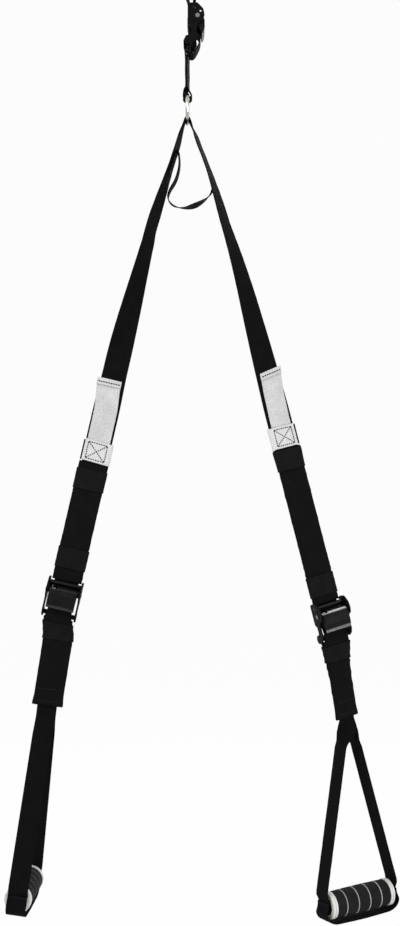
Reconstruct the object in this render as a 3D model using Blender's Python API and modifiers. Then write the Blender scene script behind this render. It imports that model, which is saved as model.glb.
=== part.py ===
"""Suspension trainer: a bar loop, a ring, and two adjustable strap legs with stirrup handles.

Metres, +Z up, +X to the viewer's right, the viewer looks along +Y. The origin is the middle of the bar that the
anchor loop hangs on. Each leg is built along its own line: x across the webbing, d in front of the strap's
middle plane, s down the leg from its knee, where the V of webbing ends.
"""

import math

import bmesh
import bpy
from mathutils import Matrix, Vector

# Webbing
WEBBING_WIDTH = 0.040
WEBBING = 0.0018
GAP = 0.0003
CLOTH = 0.001
COVER_WIDTH = 0.049
LAYER = WEBBING + GAP

# Anchor loop, stub and ring
BAR_ROOM_RADIUS = 0.020
ANCHOR_BUCKLE_DROP = 0.0823
ANCHOR_STRAP_X = 0.0037
FIXED_END_LENGTH = 0.028
TAIL_REACH = 0.0145
TAIL_LENGTH = 0.062
RING_DROP = 0.2492
RING_RADIUS = 0.0235
RING_WIRE_RADIUS = 0.003
RING_BUNCH_WIDTH = 0.028
STUB_LOOP_HALF_WIDTH = 0.006
STUB_SPREAD_LENGTH = 0.026
BUNCH_LENGTH = 0.045

# The V of webbing and its limiter loop
KNEE_DROP = 0.4343
LIMITER_WIDTH = 0.020
LIMITER = 0.0015
LIMITER_SPAN = 0.080

# Leg webbing, tab, patch and covers
KNEE_EASE = 0.130
UNTWIST_LENGTH = 0.252
UNTWIST_POWER = 1.45
STATION = 0.012
TAB_THICKNESS = 0.0016
TAB_BOW = 0.0030
TAB_WIDTH = 0.039
TAB_ASKEW_TOP = 0.0055
TAB_ASKEW_FOOT = 0.0015
TAB_HEM = 0.011
PATCH_HEIGHT = 0.0354
PATCH_WIDTH = 0.0468
PATCH_THICKNESS = 0.0016
PATCH_ROUND = 0.0012
BAND_WIDTH = 0.049
BAND_INSET = 0.001
COVER_ROOM = 0.0006
KEEPER_HEIGHT = 0.034
KEEPER_LOW_HEIGHT = 0.0275
KEEPER_RIB = 0.0006
KEEPER_RIBS = 4
COVER_ENTRY = 0.0035

# Cam buckle, measured from the top of its ears (u up) and the strap's middle plane (d to the front)
BUCKLE_LENGTH = 0.067
BUCKLE_DEPTH = 0.0245
BUCKLE_BACK = 0.009
PLATE = 0.0028
BUCKLE_INNER_WIDTH = 0.052
CORNER_ROUND = 0.0022
PIVOT_DROP = 0.021
PIVOT_FRONT = 0.013
PIVOT_RADIUS = 0.0025
GUIDE_DROP = 0.008
GUIDE_FRONT = 0.0078
GUIDE_RADIUS = 0.0025
BASE_TOP_DROP = 0.006
BASE_WIDE_DROP = 0.026
BASE_END_DROP = 0.036
BASE_THICKNESS = 0.002
BASE_NARROW_WIDTH = 0.0400
BASE_RIB = 0.0006
BASE_RIB_PITCH = 0.0032
BASE_RIBS = 4
END_BAR_DROP = 0.060
END_BAR_BACK = 0.0042
END_BAR_RADIUS = 0.004
SIGHT_HOLE_DROP = 0.0135
SIGHT_HOLE_FRONT = 0.0178
SIGHT_HOLE_RADIUS = 0.0017
BOSS_RADIUS = 0.0052
PIN_HEAD_RADIUS = 0.0036
PIN_HEAD = 0.0009
OVERRUN = 0.001

# Cam lever, measured from its pivot
LEVER_WIDTH = 0.0464
LEVER_FRONT = 0.0118
LEVER_TOP = 0.003
LEVER_REACH = 0.029
LEVER_WALL = 0.0025
FLANGE = 0.0025
FLANGE_BACK = 0.0055
CAM_CLEARANCE = 0.0004
CAM_RISE = 0.0016
TOOTH_DEPTH = 0.0010
TEETH = 9
TOOTH_SPAN_DEG = 84
HUB_RADIUS = 0.0066
SPRING_ROOM = 0.0092
RIVET_HOLE_RADIUS = 0.0016
RIVET_HOLE_DROP = 0.0090
RIVET_HOLE_SIDE = 0.0190
LIP_GROOVE = 0.0006
LIP_GROOVES = 2
LIP_GROOVE_PITCH = 0.0016

# Torsion spring
SPRING_WIRE_RADIUS = 0.0006
SPRING_RADIUS = 0.0039
SPRING_PITCH = 0.00175
SPRING_TURNS = 3.25
SPRING_LEG_UP = 0.0078
SPRING_LEG_FRONT = 0.0058
SPRING_POINTS = 7

# Lower cover and handle strap
CONVERGE_LENGTH = 0.030
BEND_LENGTH = 0.040
COVER_TOP_DROP = 0.007
COVER_FLAP = 0.018
FLAP_START_SHARE = 0.70
COVER_LOOSE = 0.0084
COVER_SNUG = 0.0043
COVER_MIDDLE_BACK = 0.0032
KEEPER_LOW_DROP = 0.014
LOW_TWIST_LENGTH = 0.070
BRANCH_TWIST_LENGTH = 0.060
BRANCH_OPEN_LENGTH = 0.045
BRANCH_CROSSING_RISE = 0.0176
BRANCH_STRAIGHT = 0.037
BRANCH_BULGE = 0.0025
BRANCH_SEAM_TOP = 0.020
BRANCH_ROUND = 0.006
HANDLE_WIDTH = 0.032
CORE_WIDTH = 0.0288
FOOT_LOOP_DROP = 0.030
FOOT_LOOP_SAG = 0.002
FOOT_LOOP_SEAM = 0.008
FOOT_LOOP_SHOULDER = 0.020
FOOT_LOOP_STRAIGHT = 0.010

# Grip
GRIP_LENGTH = 0.122
GRIP_RADIUS = 0.0222
FOAM_LENGTH = 0.105
FOAM_CROWN = 0.0006
TUBE_RADIUS = 0.017
TUBE_WALL = 0.0022
CAP_GROOVE = 0.0009
CAP_EDGE = 0.0012
CAP_FLANGE = 0.0040
GRIP_RINGS = 4
GRIP_RING_PITCH = 0.0227
GRIP_RING_WIDTH = 0.0012
GRIP_RING_DEPTH = 0.0008
BRANCH_STAND = 0.0650
BORE_CLEARANCE = 0.0003
WELD = 0.00002

# Counts of facets
BEND_STEPS = 8
LOWER_STEPS = 4
TURN_STEPS = 24
PIN_SIDES = 12
COVER_SIDES = 12
CORNER_STEPS = 1

# One leg's own values: lengths in metres, angles in degrees
LEFT = {
    "name": "left",
    "side": -1,
    "lean": 13.0,
    "yaw": 0.0,
    "knee_out": 0.0568,
    "line_out": 0.0622,
    "knee_turn": 65.0,
    "tab": 0.2676,
    "patch": 0.3706,
    "keeper_gap": 0.0127,
    "keeper_rise": 0.0512,
    "buckle": 0.6027,
    "cover_low": 0.1506,
    "low_shift": 0.004,
    "low_lean": 9.1,
    "low_yaw": 11.0,
    "handle_lean": 7.1,
    "handle_drop": 0.3048,
    "grip_yaw": 87.0,
    "branch_turn": -90.0,
}
RIGHT = {
    "name": "right",
    "side": 1,
    "lean": 14.45,
    "yaw": 24.0,
    "knee_out": 0.0617,
    "line_out": 0.0668,
    "knee_turn": 72.0,
    "tab": 0.2531,
    "patch": 0.3470,
    "keeper_gap": 0.0032,
    "keeper_rise": 0.0425,
    "buckle": 0.6421,
    "cover_low": 0.1360,
    "low_shift": 0.0,
    "low_lean": 9.2,
    "low_yaw": 42.0,
    "handle_lean": 3.5,
    "handle_drop": 0.3000,
    "grip_yaw": 28.5,
    "branch_turn": -90.0,
}
# Share of the leg's yaw that the webbing has taken up at its tab and patch, and where it has the whole
PATCH_YAW_SHARE = 0.75
SETTLED_LENGTH = 0.040

# Places below the end bar where every layer in the lower cover has a row
LOW_STATIONS = [0.0, 0.007, 0.014, 0.020, 0.026, 0.032, 0.041, 0.051, 0.062]

# Outlines, as shares of the buckle's length (down from the ears) and of its depth (to the front)
SIDE_PLATE_SHARES = [
    (0.030, -0.131),
    (0.000, 0.090),
    (0.000, 0.530),
    (0.150, 0.918),
    (0.300, 1.000),
    (0.420, 0.890),
    (0.500, 0.520),
    (0.680, 0.450),
    (0.810, 0.480),
    (0.930, 0.320),
    (1.000, 0.040),
    (0.990, -0.265),
    (0.895, -0.367),
    (0.800, -0.265),
    (0.765, 0.100),
    (0.570, 0.100),
    (0.535, -0.131),
]
# Lever face, as shares of its reach below the pivot and of its front distance
LEVER_FACE_SHARES = [
    (-0.103, 0.420),
    (-0.040, 0.800),
    (0.200, 0.975),
    (0.550, 1.000),
    (0.850, 0.860),
    (1.000, 0.640),
    (0.960, 0.470),
    (0.810, 0.630),
    (0.540, 0.780),
    (0.280, 0.750),
    (0.100, 0.480),
]
FLANGE_SHARES = [
    (-0.190, 0.100),
    (-0.110, 0.520),
    (-0.020, 0.760),
    (0.200, 0.930),
    (0.550, 0.950),
    (0.850, 0.820),
    (0.940, 0.600),
    (0.700, 0.340),
    (0.360, -0.180),
    (0.150, -0.440),
    (-0.080, -0.460),
    (-0.200, -0.200),
]
# Limiter loop between its seams: across and down from the ring's foot, as shares of its span, and its turn
# about its own length in degrees, 90 where it is seen edge-on
LIMITER_ROUTE_SHARES = [
    (-0.165, 0.860, 76.0),
    (-0.236, 1.156, 60.0),
    (-0.370, 1.400, 44.0),
    (-0.395, 1.560, 34.0),
    (-0.278, 1.690, 28.0),
    (-0.073, 1.732, 26.0),
    (0.134, 1.690, 30.0),
    (0.319, 1.588, 42.0),
    (0.455, 1.470, 66.0),
]
LEFT_SEAM_SHARES = (0.18, 0.23, 0.28)
RIGHT_SEAM_SHARES = (0.69, 0.65, 0.61)

X_AXIS = Vector((1, 0, 0))
Y_AXIS = Vector((0, 1, 0))
Z_AXIS = Vector((0, 0, 1))


def ease(share):
    """A smooth run from 0 to 1."""
    share = min(max(share, 0.0), 1.0)
    return share * share * (3 - 2 * share)


def mix(low, high, share):
    return low + (high - low) * share


def turned_axes(across, turn_deg):
    """The directions across and behind a strap that is turned about its own length."""
    turn = math.radians(turn_deg)
    width = across * math.cos(turn) + Y_AXIS * math.sin(turn)
    back = Y_AXIS * math.cos(turn) - across * math.sin(turn)
    return width, back


def down_and_across(side, lean_deg):
    """The direction down a strap that leans outwards, and the direction across it to the viewer's right."""
    lean = math.radians(lean_deg)
    down = Vector((side * math.sin(lean), 0, -math.cos(lean)))
    across = Vector((math.cos(lean), 0, side * math.sin(lean)))
    return down, across


def frame_matrix(origin, width, back, up):
    """A placement whose X runs across, Y to the back and Z up a strap."""
    matrix = Matrix((width, back, up)).transposed().to_4x4()
    matrix.translation = origin
    return matrix


# Scene, materials and objects


def clear_scene():
    for item in list(bpy.data.objects):
        bpy.data.objects.remove(item, do_unlink=True)


def new_collection(name, shown):
    collection = bpy.data.collections.new(name)
    bpy.context.scene.collection.children.link(collection)
    collection.hide_render = not shown
    return collection


def new_material(name, colour, roughness, metallic=0.0):
    material = bpy.data.materials.new(name)
    material.use_nodes = True
    shader = material.node_tree.nodes["Principled BSDF"]
    shader.inputs["Base Color"].default_value = (*colour, 1.0)
    shader.inputs["Roughness"].default_value = roughness
    shader.inputs["Metallic"].default_value = metallic
    return material


clear_scene()
PARTS = new_collection("suspension_trainer", shown=True)
GUIDES = new_collection("guides", shown=False)
BLACK_WEBBING = new_material("webbing_black", (0.010, 0.010, 0.011), 0.85)
BLACK_CLOTH = new_material("cover_cloth_black", (0.012, 0.012, 0.013), 0.90)
ELASTIC = new_material("elastic_black", (0.008, 0.008, 0.009), 0.80)
WHITE_WEBBING = new_material("webbing_white", (0.72, 0.73, 0.75), 0.80)
WHITE_PATCH = new_material("patch_white", (0.76, 0.77, 0.79), 0.75)
BLACK_METAL = new_material("buckle_black", (0.014, 0.013, 0.014), 0.42, 0.4)
LEVER_METAL = new_material("lever_grey", (0.024, 0.024, 0.025), 0.40, 0.5)
STEEL = new_material("steel_bright", (0.62, 0.60, 0.58), 0.22, 1.0)
SPRING_STEEL = new_material("spring_steel", (0.50, 0.50, 0.52), 0.35, 1.0)
FOAM = new_material("foam_black", (0.013, 0.013, 0.014), 0.95)
TUBE_PLASTIC = new_material("tube_plastic_black", (0.015, 0.015, 0.016), 0.50)
WHITE_PLASTIC = new_material("cap_white", (0.70, 0.70, 0.68), 0.45)
SILVER_RING = new_material("ring_silver", (0.60, 0.61, 0.63), 0.35)

FRAMES = {}


def place_frame(name, matrix):
    """An empty on a joint's axis or a buckle's seat; pieces hang from it."""
    empty = bpy.data.objects.new(name, None)
    empty.matrix_world = matrix
    empty.empty_display_size = WEBBING_WIDTH
    PARTS.objects.link(empty)
    FRAMES[name] = matrix.copy()
    return empty


def hang(item, frame):
    """Parent a piece to a frame that holds it, keeping its data in the frame's own axes."""
    item.parent = bpy.data.objects[frame]
    item.matrix_parent_inverse = Matrix.Identity(4)


def mesh_object(name, source, frame, material, world=True, smooth=True):
    """A piece from an edit mesh, given in world axes or in its frame's own."""
    if world:
        source.transform(FRAMES[frame].inverted())
    mesh = bpy.data.meshes.new(name)
    source.to_mesh(mesh)
    source.free()
    for face in mesh.polygons:
        face.use_smooth = smooth
    mesh.materials.append(material)
    item = bpy.data.objects.new(name, mesh)
    PARTS.objects.link(item)
    hang(item, frame)
    return item


def thicken(item, thickness):
    modifier = item.modifiers.new("thickness", "SOLIDIFY")
    modifier.thickness = thickness
    modifier.offset = 0
    modifier.use_even_offset = True
    return item


def sheet_from_rows(rows, across, closed):
    """A grid with one row for each station: rows hold a function of the share across, from -1 to 1."""
    sheet = bmesh.new()
    bmesh.ops.create_grid(sheet, x_segments=across, y_segments=len(rows) - 1, size=0.5)
    for vertex in sheet.verts:
        row = rows[round((vertex.co.y + 0.5) * (len(rows) - 1))]
        vertex.co = row(vertex.co.x * 2)
    if closed:
        bmesh.ops.remove_doubles(sheet, verts=sheet.verts, dist=WELD)
    return sheet


def flat_row(middle, half):
    return lambda share: middle + half * share


def ribbon(name, frame, material, rows, thickness=WEBBING, across=1, closed=False):
    """Flat webbing through a list of rows."""
    sheet = sheet_from_rows(rows, across, closed)
    return thicken(mesh_object(name, sheet, frame, material), thickness)


def hoop(name, frame, material, rings, wall):
    """A flattened tube of cloth through a list of rings; a ring is a function of an angle in turns."""
    sheet = bmesh.new()
    bmesh.ops.create_grid(sheet, x_segments=COVER_SIDES, y_segments=len(rings) - 1, size=0.5)
    for vertex in sheet.verts:
        ring = rings[round((vertex.co.y + 0.5) * (len(rings) - 1))]
        vertex.co = ring(round((vertex.co.x + 0.5) * COVER_SIDES) / COVER_SIDES)
    bmesh.ops.remove_doubles(sheet, verts=sheet.verts, dist=WELD)
    return thicken(mesh_object(name, sheet, frame, material), wall)


def flattened(turn, half_width, half_depth):
    """A point on a flattened oval: across and to the front."""
    angle = 2 * math.pi * turn
    squareness = 0.30
    cosine = math.cos(angle)
    sine = math.sin(angle)
    x = half_width * math.copysign(abs(cosine) ** squareness, cosine)
    d = half_depth * math.copysign(abs(sine) ** squareness, sine)
    return x, d


def rounded(points, radius):
    """An outline with each corner replaced by a short arc of the given radius."""
    out = []
    for index, point in enumerate(points):
        corner = Vector(point)
        before = Vector(points[index - 1]) - corner
        after = Vector(points[(index + 1) % len(points)]) - corner
        half_angle = before.angle(after) / 2
        cut = min(radius / math.tan(half_angle), before.length * 0.45, after.length * 0.45)
        start = corner + before.normalized() * cut
        end = corner + after.normalized() * cut
        for step in range(CORNER_STEPS + 1):
            share = step / CORNER_STEPS
            out.append(start * (1 - share) ** 2 + corner * 2 * share * (1 - share) + end * share**2)
    return out


def slab(name, outline, low, high):
    """A plate with its outline in (u, d) and its thickness across the buckle, in buckle axes."""
    curve = bpy.data.curves.new(name, "CURVE")
    curve.dimensions = "2D"
    curve.fill_mode = "BOTH"
    curve.extrude = (high - low) / 2
    spline = curve.splines.new("POLY")
    spline.points.add(len(outline) - 1)
    for point, (u, d) in zip(spline.points, outline):
        point.co = (u, d, 0, 1)
    spline.use_cyclic_u = True
    outline_object = bpy.data.objects.new(name, curve)
    GUIDES.objects.link(outline_object)
    bpy.context.view_layer.update()
    mesh = bpy.data.meshes.new_from_object(outline_object.evaluated_get(bpy.context.evaluated_depsgraph_get()))
    bpy.data.objects.remove(outline_object)
    solid = bmesh.new()
    solid.from_mesh(mesh)
    bpy.data.meshes.remove(mesh)
    bmesh.ops.remove_doubles(solid, verts=solid.verts, dist=WELD)
    bmesh.ops.recalc_face_normals(solid, faces=solid.faces)
    middle = Vector(((low + high) / 2, 0, 0))
    solid.transform(frame_matrix(middle, Z_AXIS, -Y_AXIS, X_AXIS))
    return solid


def rod(radius, low, high, u, d, sides=PIN_SIDES):
    """A round bar across the buckle, in buckle axes."""
    solid = bmesh.new()
    bmesh.ops.create_cone(
        solid, cap_ends=True, segments=sides, radius1=radius, radius2=radius, depth=high - low
    )
    solid.transform(Matrix.Rotation(math.radians(90), 4, "Y"))
    solid.transform(Matrix.Translation(((low + high) / 2, -d, u)))
    return solid


def block(low, high):
    """A box between two corners, each (across, front, up) in buckle axes."""
    solid = bmesh.new()
    bmesh.ops.create_cube(solid, size=1)
    size = [b - a for a, b in zip(low, high)]
    middle = [(a + b) / 2 for a, b in zip(low, high)]
    solid.transform(Matrix.Diagonal((*size, 1)))
    solid.transform(Matrix.Translation((middle[0], -middle[1], middle[2])))
    return solid


def guide(name, solid, frame):
    """A hidden solid that a Boolean uses."""
    mesh = bpy.data.meshes.new(name)
    solid.to_mesh(mesh)
    solid.free()
    item = bpy.data.objects.new(name, mesh)
    item.hide_render = True
    item.display_type = "WIRE"
    GUIDES.objects.link(item)
    hang(item, frame)
    return item


def combine(item, operation, other):
    modifier = item.modifiers.new(operation.lower(), "BOOLEAN")
    modifier.operation = operation
    modifier.solver = "EXACT"
    modifier.object = other


def turned(name, frame, material, profile, closed):
    """A turned piece about its frame's X axis, from a profile of (radius, place along the axis)."""
    mesh = bpy.data.meshes.new(name)
    count = len(profile)
    edges = [(i, (i + 1) % count) for i in range(count if closed else count - 1)]
    mesh.from_pydata([(radius, 0, place) for radius, place in profile], edges, [])
    mesh.materials.append(material)
    item = bpy.data.objects.new(name, mesh)
    PARTS.objects.link(item)
    hang(item, frame)
    item.rotation_euler = (0, math.radians(90), 0)
    screw = item.modifiers.new("turn", "SCREW")
    screw.steps = TURN_STEPS
    screw.render_steps = TURN_STEPS
    screw.use_merge_vertices = True
    screw.merge_threshold = WELD
    screw.use_smooth_shade = True
    return item


# Cam buckle


def side_plate_outline():
    points = [(-down * BUCKLE_LENGTH, front * BUCKLE_DEPTH) for down, front in SIDE_PLATE_SHARES]
    return rounded(points, CORNER_ROUND)


def both_ends(solid):
    """The solid and its mirror image on the other side of the buckle."""
    other = solid.copy()
    bmesh.ops.scale(other, vec=(-1, 1, 1), verts=other.verts)
    bmesh.ops.reverse_faces(other, faces=other.faces)
    return solid, other


def buckle_frame(prefix, frame):
    """Two ears joined by a ribbed base plate and the end bar, drilled for the pins."""
    inner = BUCKLE_INNER_WIDTH / 2
    first, second = both_ends(slab(prefix + "frame", side_plate_outline(), inner, inner + PLATE))
    item = mesh_object(prefix + "frame", first, frame, BLACK_METAL, world=False, smooth=False)
    base_front = -WEBBING / 2 - GAP
    base_back = base_front - BASE_THICKNESS
    reach = inner + OVERRUN
    half_tongue = BASE_NARROW_WIDTH / 2
    wide = block((-reach, base_back, -BASE_WIDE_DROP), (reach, base_front, -BASE_TOP_DROP))
    tongue = block((-half_tongue, base_back, -BASE_END_DROP), (half_tongue, base_front, OVERRUN - BASE_WIDE_DROP))
    bar = rod(END_BAR_RADIUS, -reach, reach, -END_BAR_DROP, -END_BAR_BACK)
    bosses = both_ends(rod(BOSS_RADIUS, LEVER_WIDTH / 2 + GAP, reach, -PIVOT_DROP, PIVOT_FRONT))
    additions = [("ear", second), ("base", wide), ("tongue", tongue), ("bar", bar)]
    additions += [("boss_low", bosses[0]), ("boss_high", bosses[1])]
    for index in range(BASE_RIBS):
        rib_drop = BASE_END_DROP - BASE_RIB_PITCH * (index + 1)
        half_rib = half_tongue - BASE_RIB
        rib = rod(BASE_RIB, -half_rib, half_rib, -rib_drop, base_back, sides=PIN_SIDES // 2)
        additions.append((f"rib_{index + 1}", rib))
    for label, solid in additions:
        combine(item, "UNION", guide(prefix + label, solid, frame))
    outer = inner + PLATE + OVERRUN
    holes = (
        ("pivot_bore", PIVOT_RADIUS + BORE_CLEARANCE, PIVOT_DROP, PIVOT_FRONT),
        ("guide_bore", GUIDE_RADIUS + BORE_CLEARANCE, GUIDE_DROP, GUIDE_FRONT),
        ("sight_bore", SIGHT_HOLE_RADIUS, SIGHT_HOLE_DROP, SIGHT_HOLE_FRONT),
    )
    for label, radius, drop, front in holes:
        cutter = guide(prefix + label, rod(radius, -outer, outer, -drop, front), frame)
        combine(item, "DIFFERENCE", cutter)
    return item


def cam_outline():
    """The toothed cam about its pivot: teeth face the strap, and the reach grows downwards so that a load bites."""
    reach = PIVOT_FRONT - WEBBING / 2 - CAM_CLEARANCE
    points = []
    for index in range(2 * TEETH + 1):
        turn_deg = TOOTH_SPAN_DEG * (index / (2 * TEETH) - 0.5)
        turn = math.radians(turn_deg)
        radius = reach + CAM_RISE * turn - (TOOTH_DEPTH if index % 2 else 0)
        points.append((-radius * math.sin(turn), -radius * math.cos(turn)))
    for index in range(1, BEND_STEPS):
        turn = math.radians(mix(TOOTH_SPAN_DEG / 2, 360 - TOOTH_SPAN_DEG / 2, index / BEND_STEPS))
        points.append((-HUB_RADIUS * math.sin(turn), -HUB_RADIUS * math.cos(turn)))
    return points


def cam_lever(prefix, frame):
    """Thumb face with side flanges and a toothed cam, in its pivot's axes."""
    half = LEVER_WIDTH / 2
    face_points = [(-down * LEVER_REACH, front * LEVER_FRONT) for down, front in LEVER_FACE_SHARES]
    flange_points = [(-down * LEVER_REACH, front * LEVER_FRONT) for down, front in FLANGE_SHARES]
    face = slab(prefix + "cam_lever", rounded(face_points, LEVER_WALL / 4), -half, half)
    item = mesh_object(prefix + "cam_lever", face, frame, LEVER_METAL, world=False, smooth=False)
    cam = slab(prefix + "cam", cam_outline(), -half + FLANGE + SPRING_ROOM, half - FLANGE + OVERRUN)
    combine(item, "UNION", guide(prefix + "cam", cam, frame))
    for label, low in (("flange_low", -half), ("flange_high", half - FLANGE)):
        flange = slab(prefix + label, rounded(flange_points, FLANGE / 4), low + GAP, low + FLANGE - GAP)
        combine(item, "UNION", guide(prefix + label, flange, frame))
    bore = rod(PIVOT_RADIUS + BORE_CLEARANCE, -half - OVERRUN, half + OVERRUN, 0, 0)
    combine(item, "DIFFERENCE", guide(prefix + "lever_bore", bore, frame))
    for index in range(LIP_GROOVES):
        drop = LEVER_REACH * LEVER_FACE_SHARES[4][0] + LIP_GROOVE_PITCH * index
        front = LEVER_FRONT * LEVER_FACE_SHARES[4][1] - LIP_GROOVE_PITCH * index / 2
        groove = rod(LIP_GROOVE, -half - OVERRUN, half + OVERRUN, -drop, front, sides=PIN_SIDES // 2)
        combine(item, "DIFFERENCE", guide(f"{prefix}lip_groove_{index + 1}", groove, frame))
    return item


def cross_pin(name, frame, radius, material, u, d, headed):
    """A pin through both ears, with low round heads outside them or flush."""
    outer = BUCKLE_INNER_WIDTH / 2 + PLATE
    pin = rod(radius, -outer - (GAP + OVERRUN if headed else 0), outer + (GAP + OVERRUN if headed else 0), u, d)
    item = mesh_object(name, pin, frame, material, world=False, smooth=False)
    if headed:
        for label, side in (("low", -1), ("high", 1)):
            ends = sorted((side * (outer + GAP), side * (outer + GAP + PIN_HEAD)))
            head = rod(PIN_HEAD_RADIUS, ends[0], ends[1], u, d)
            combine(item, "UNION", guide(f"{name}_{label}_head", head, frame))
    return item


def torsion_spring(name, frame):
    """A coil round the pivot pin, one leg up under the guide bar and one forward under the lever's face."""
    start = -LEVER_WIDTH / 2 + FLANGE + SPRING_WIRE_RADIUS + GAP
    points = [Vector((start, SPRING_RADIUS, SPRING_LEG_UP)), Vector((start, SPRING_RADIUS, SPRING_RADIUS))]
    steps = round(SPRING_TURNS * SPRING_POINTS)
    coil = []
    for index in range(steps + 1):
        turns = SPRING_TURNS * index / steps
        angle = 2 * math.pi * turns
        x = start + SPRING_PITCH * turns
        coil.append(Vector((x, SPRING_RADIUS * math.cos(angle), -SPRING_RADIUS * math.sin(angle))))
    points += coil
    last = coil[-1]
    points.append(Vector((last.x, -SPRING_LEG_FRONT, last.z - SPRING_RADIUS / 2)))
    turn = round(SPRING_POINTS)
    gap = min((a - b).length for i, a in enumerate(coil) for b in coil[i + turn - 2 :]) - 2 * SPRING_WIRE_RADIUS
    print(f"{name}: least gap between turns {gap * 1000:.2f} mm")
    curve = bpy.data.curves.new(name, "CURVE")
    curve.dimensions = "3D"
    curve.bevel_depth = SPRING_WIRE_RADIUS
    curve.bevel_resolution = 1
    curve.use_fill_caps = True
    curve.materials.append(SPRING_STEEL)
    spline = curve.splines.new("POLY")
    spline.points.add(len(points) - 1)
    for point, place in zip(spline.points, points):
        point.co = (*place, 1)
    item = bpy.data.objects.new(name, curve)
    PARTS.objects.link(item)
    hang(item, frame)
    return item


def cam_buckle(prefix, matrix):
    """A whole buckle at a seat whose origin is the top of its ears, on the strap's middle plane."""
    seat = prefix + "buckle"
    place_frame(seat, matrix)
    pivot = prefix + "lever_axis"
    place_frame(pivot, matrix @ Matrix.Translation((0, -PIVOT_FRONT, -PIVOT_DROP)))
    buckle_frame(prefix + "buckle_", seat)
    cam_lever(prefix, pivot)
    cross_pin(prefix + "pivot_pin", seat, PIVOT_RADIUS, STEEL, -PIVOT_DROP, PIVOT_FRONT, headed=True)
    cross_pin(prefix + "guide_bar", seat, GUIDE_RADIUS, BLACK_METAL, -GUIDE_DROP, GUIDE_FRONT, headed=False)
    torsion_spring(prefix + "cam_spring", pivot)


# Anchor loop, stub and ring


def upright_row(x, z, half_width=WEBBING_WIDTH / 2):
    """A row of webbing seen edge-on: its width lies along Y."""
    return flat_row(Vector((x, 0, z)), Y_AXIS * half_width)


def anchor_strap():
    """From its sewn end round the guide bar, over the bar, down through the cam to a short tail."""
    top = -ANCHOR_BUCKLE_DROP
    guide_x = ANCHOR_STRAP_X + GUIDE_FRONT
    guide_z = top - GUIDE_DROP
    wrap = GUIDE_RADIUS + GAP + WEBBING / 2
    room = BAR_ROOM_RADIUS + WEBBING / 2
    path = [(guide_x - LAYER / 2, guide_z + FIXED_END_LENGTH), (guide_x - wrap, guide_z + wrap)]
    for index in range(BEND_STEPS + 1):
        angle = math.pi * index / BEND_STEPS
        path.append((guide_x - wrap * math.cos(angle), guide_z - wrap * math.sin(angle)))
    path.append((guide_x + LAYER / 2, guide_z + FIXED_END_LENGTH))
    for index in range(2 * BEND_STEPS + 1):
        angle = math.pi * index / (2 * BEND_STEPS)
        path.append((room * math.cos(angle), room * math.sin(angle)))
    path.append((ANCHOR_STRAP_X, top + WEBBING))
    path.append((ANCHOR_STRAP_X, top - BASE_WIDE_DROP))
    tail = TAIL_REACH
    for down, front in TAIL_SHARES:
        path.append((ANCHOR_STRAP_X + tail * front, top - BASE_WIDE_DROP - TAIL_LENGTH * down))
    ribbon("anchor_strap", "anchor", BLACK_WEBBING, [upright_row(x, z) for x, z in path])


# Tail of the anchor strap: down, as a share of its length, and forward, as a share of its reach
TAIL_SHARES = [(0.14, 0.10), (0.30, 0.42), (0.46, 0.82), (0.60, 1.00), (0.74, 0.98), (0.88, 0.76), (1.00, 0.30)]


def wire_rise(y):
    """How far the ring's wire has risen from its lowest point at a place across the webbing, and its slant."""
    slant = math.asin(y / RING_RADIUS)
    return RING_RADIUS * (1 - math.cos(slant)), 1 / math.cos(slant)


def cupped_row(x, z, upright, share_of_cup, half_width, turn_deg=90.0, across=None):
    """A row that follows the ring's curved wire: upright is 1 over the lower wire and -1 under the upper one."""

    def row(share):
        width, _ = turned_axes(across or X_AXIS, turn_deg)
        point = Vector((x, 0, z)) + width * (half_width * share)
        rise, _ = wire_rise(half_width * share)
        point.z += upright * rise * share_of_cup
        return point

    return row


def ring_bow(angle, width_radius, height_radius, upright, wire_x, wire_z):
    """A row round the wire: angle 90 degrees is the side that presses on the wire."""

    def row(share):
        y = RING_BUNCH_WIDTH / 2 * share
        rise, slant = wire_rise(y)
        x = wire_x + width_radius * math.cos(angle)
        z = wire_z + upright * (rise + height_radius * slant * math.sin(angle))
        return Vector((x, y, z))

    return row


def stub_strap():
    """One closed loop of webbing: round the end bar at its top, through the ring at its foot."""
    bar_x = ANCHOR_STRAP_X - END_BAR_BACK
    bar_z = -ANCHOR_BUCKLE_DROP - END_BAR_DROP
    wrap = END_BAR_RADIUS + GAP + WEBBING / 2
    wire_z = -RING_DROP + RING_RADIUS
    half = WEBBING_WIDTH / 2
    low_z = wire_z + STUB_SPREAD_LENGTH
    high_z = bar_z - STUB_SPREAD_LENGTH
    rows = []
    for index in range(BEND_STEPS + 1):
        angle = math.pi * (1 - index / BEND_STEPS)
        rows.append(upright_row(bar_x + wrap * math.cos(angle), bar_z + wrap * math.sin(angle), half))
    middle = RING_WIRE_RADIUS + GAP + WEBBING / 2

    def layer(side):
        pairs = [(high_z, LAYER / 2, half), (mix(high_z, low_z, 0.5), LAYER / 2, half)]
        pairs += [(low_z, LAYER / 2, half * 0.94), (mix(low_z, wire_z, 0.5), STUB_LOOP_HALF_WIDTH * 0.6, half * 0.84)]
        out = []
        for z, spread, half_width in pairs:
            x = mix(bar_x, 0, (bar_z - z) / (bar_z - wire_z)) + side * spread
            out.append(upright_row(x, z, half_width))
        return out

    rows += layer(1)
    for index in range(BEND_STEPS + 1):
        angle = math.pi * index / BEND_STEPS
        rows.append(ring_bow(angle, STUB_LOOP_HALF_WIDTH, middle, -1, 0, wire_z))
    rows += layer(-1)[::-1]
    rows.append(rows[0])
    ribbon("stub_strap", "anchor", BLACK_WEBBING, rows, across=4, closed=True)


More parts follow.
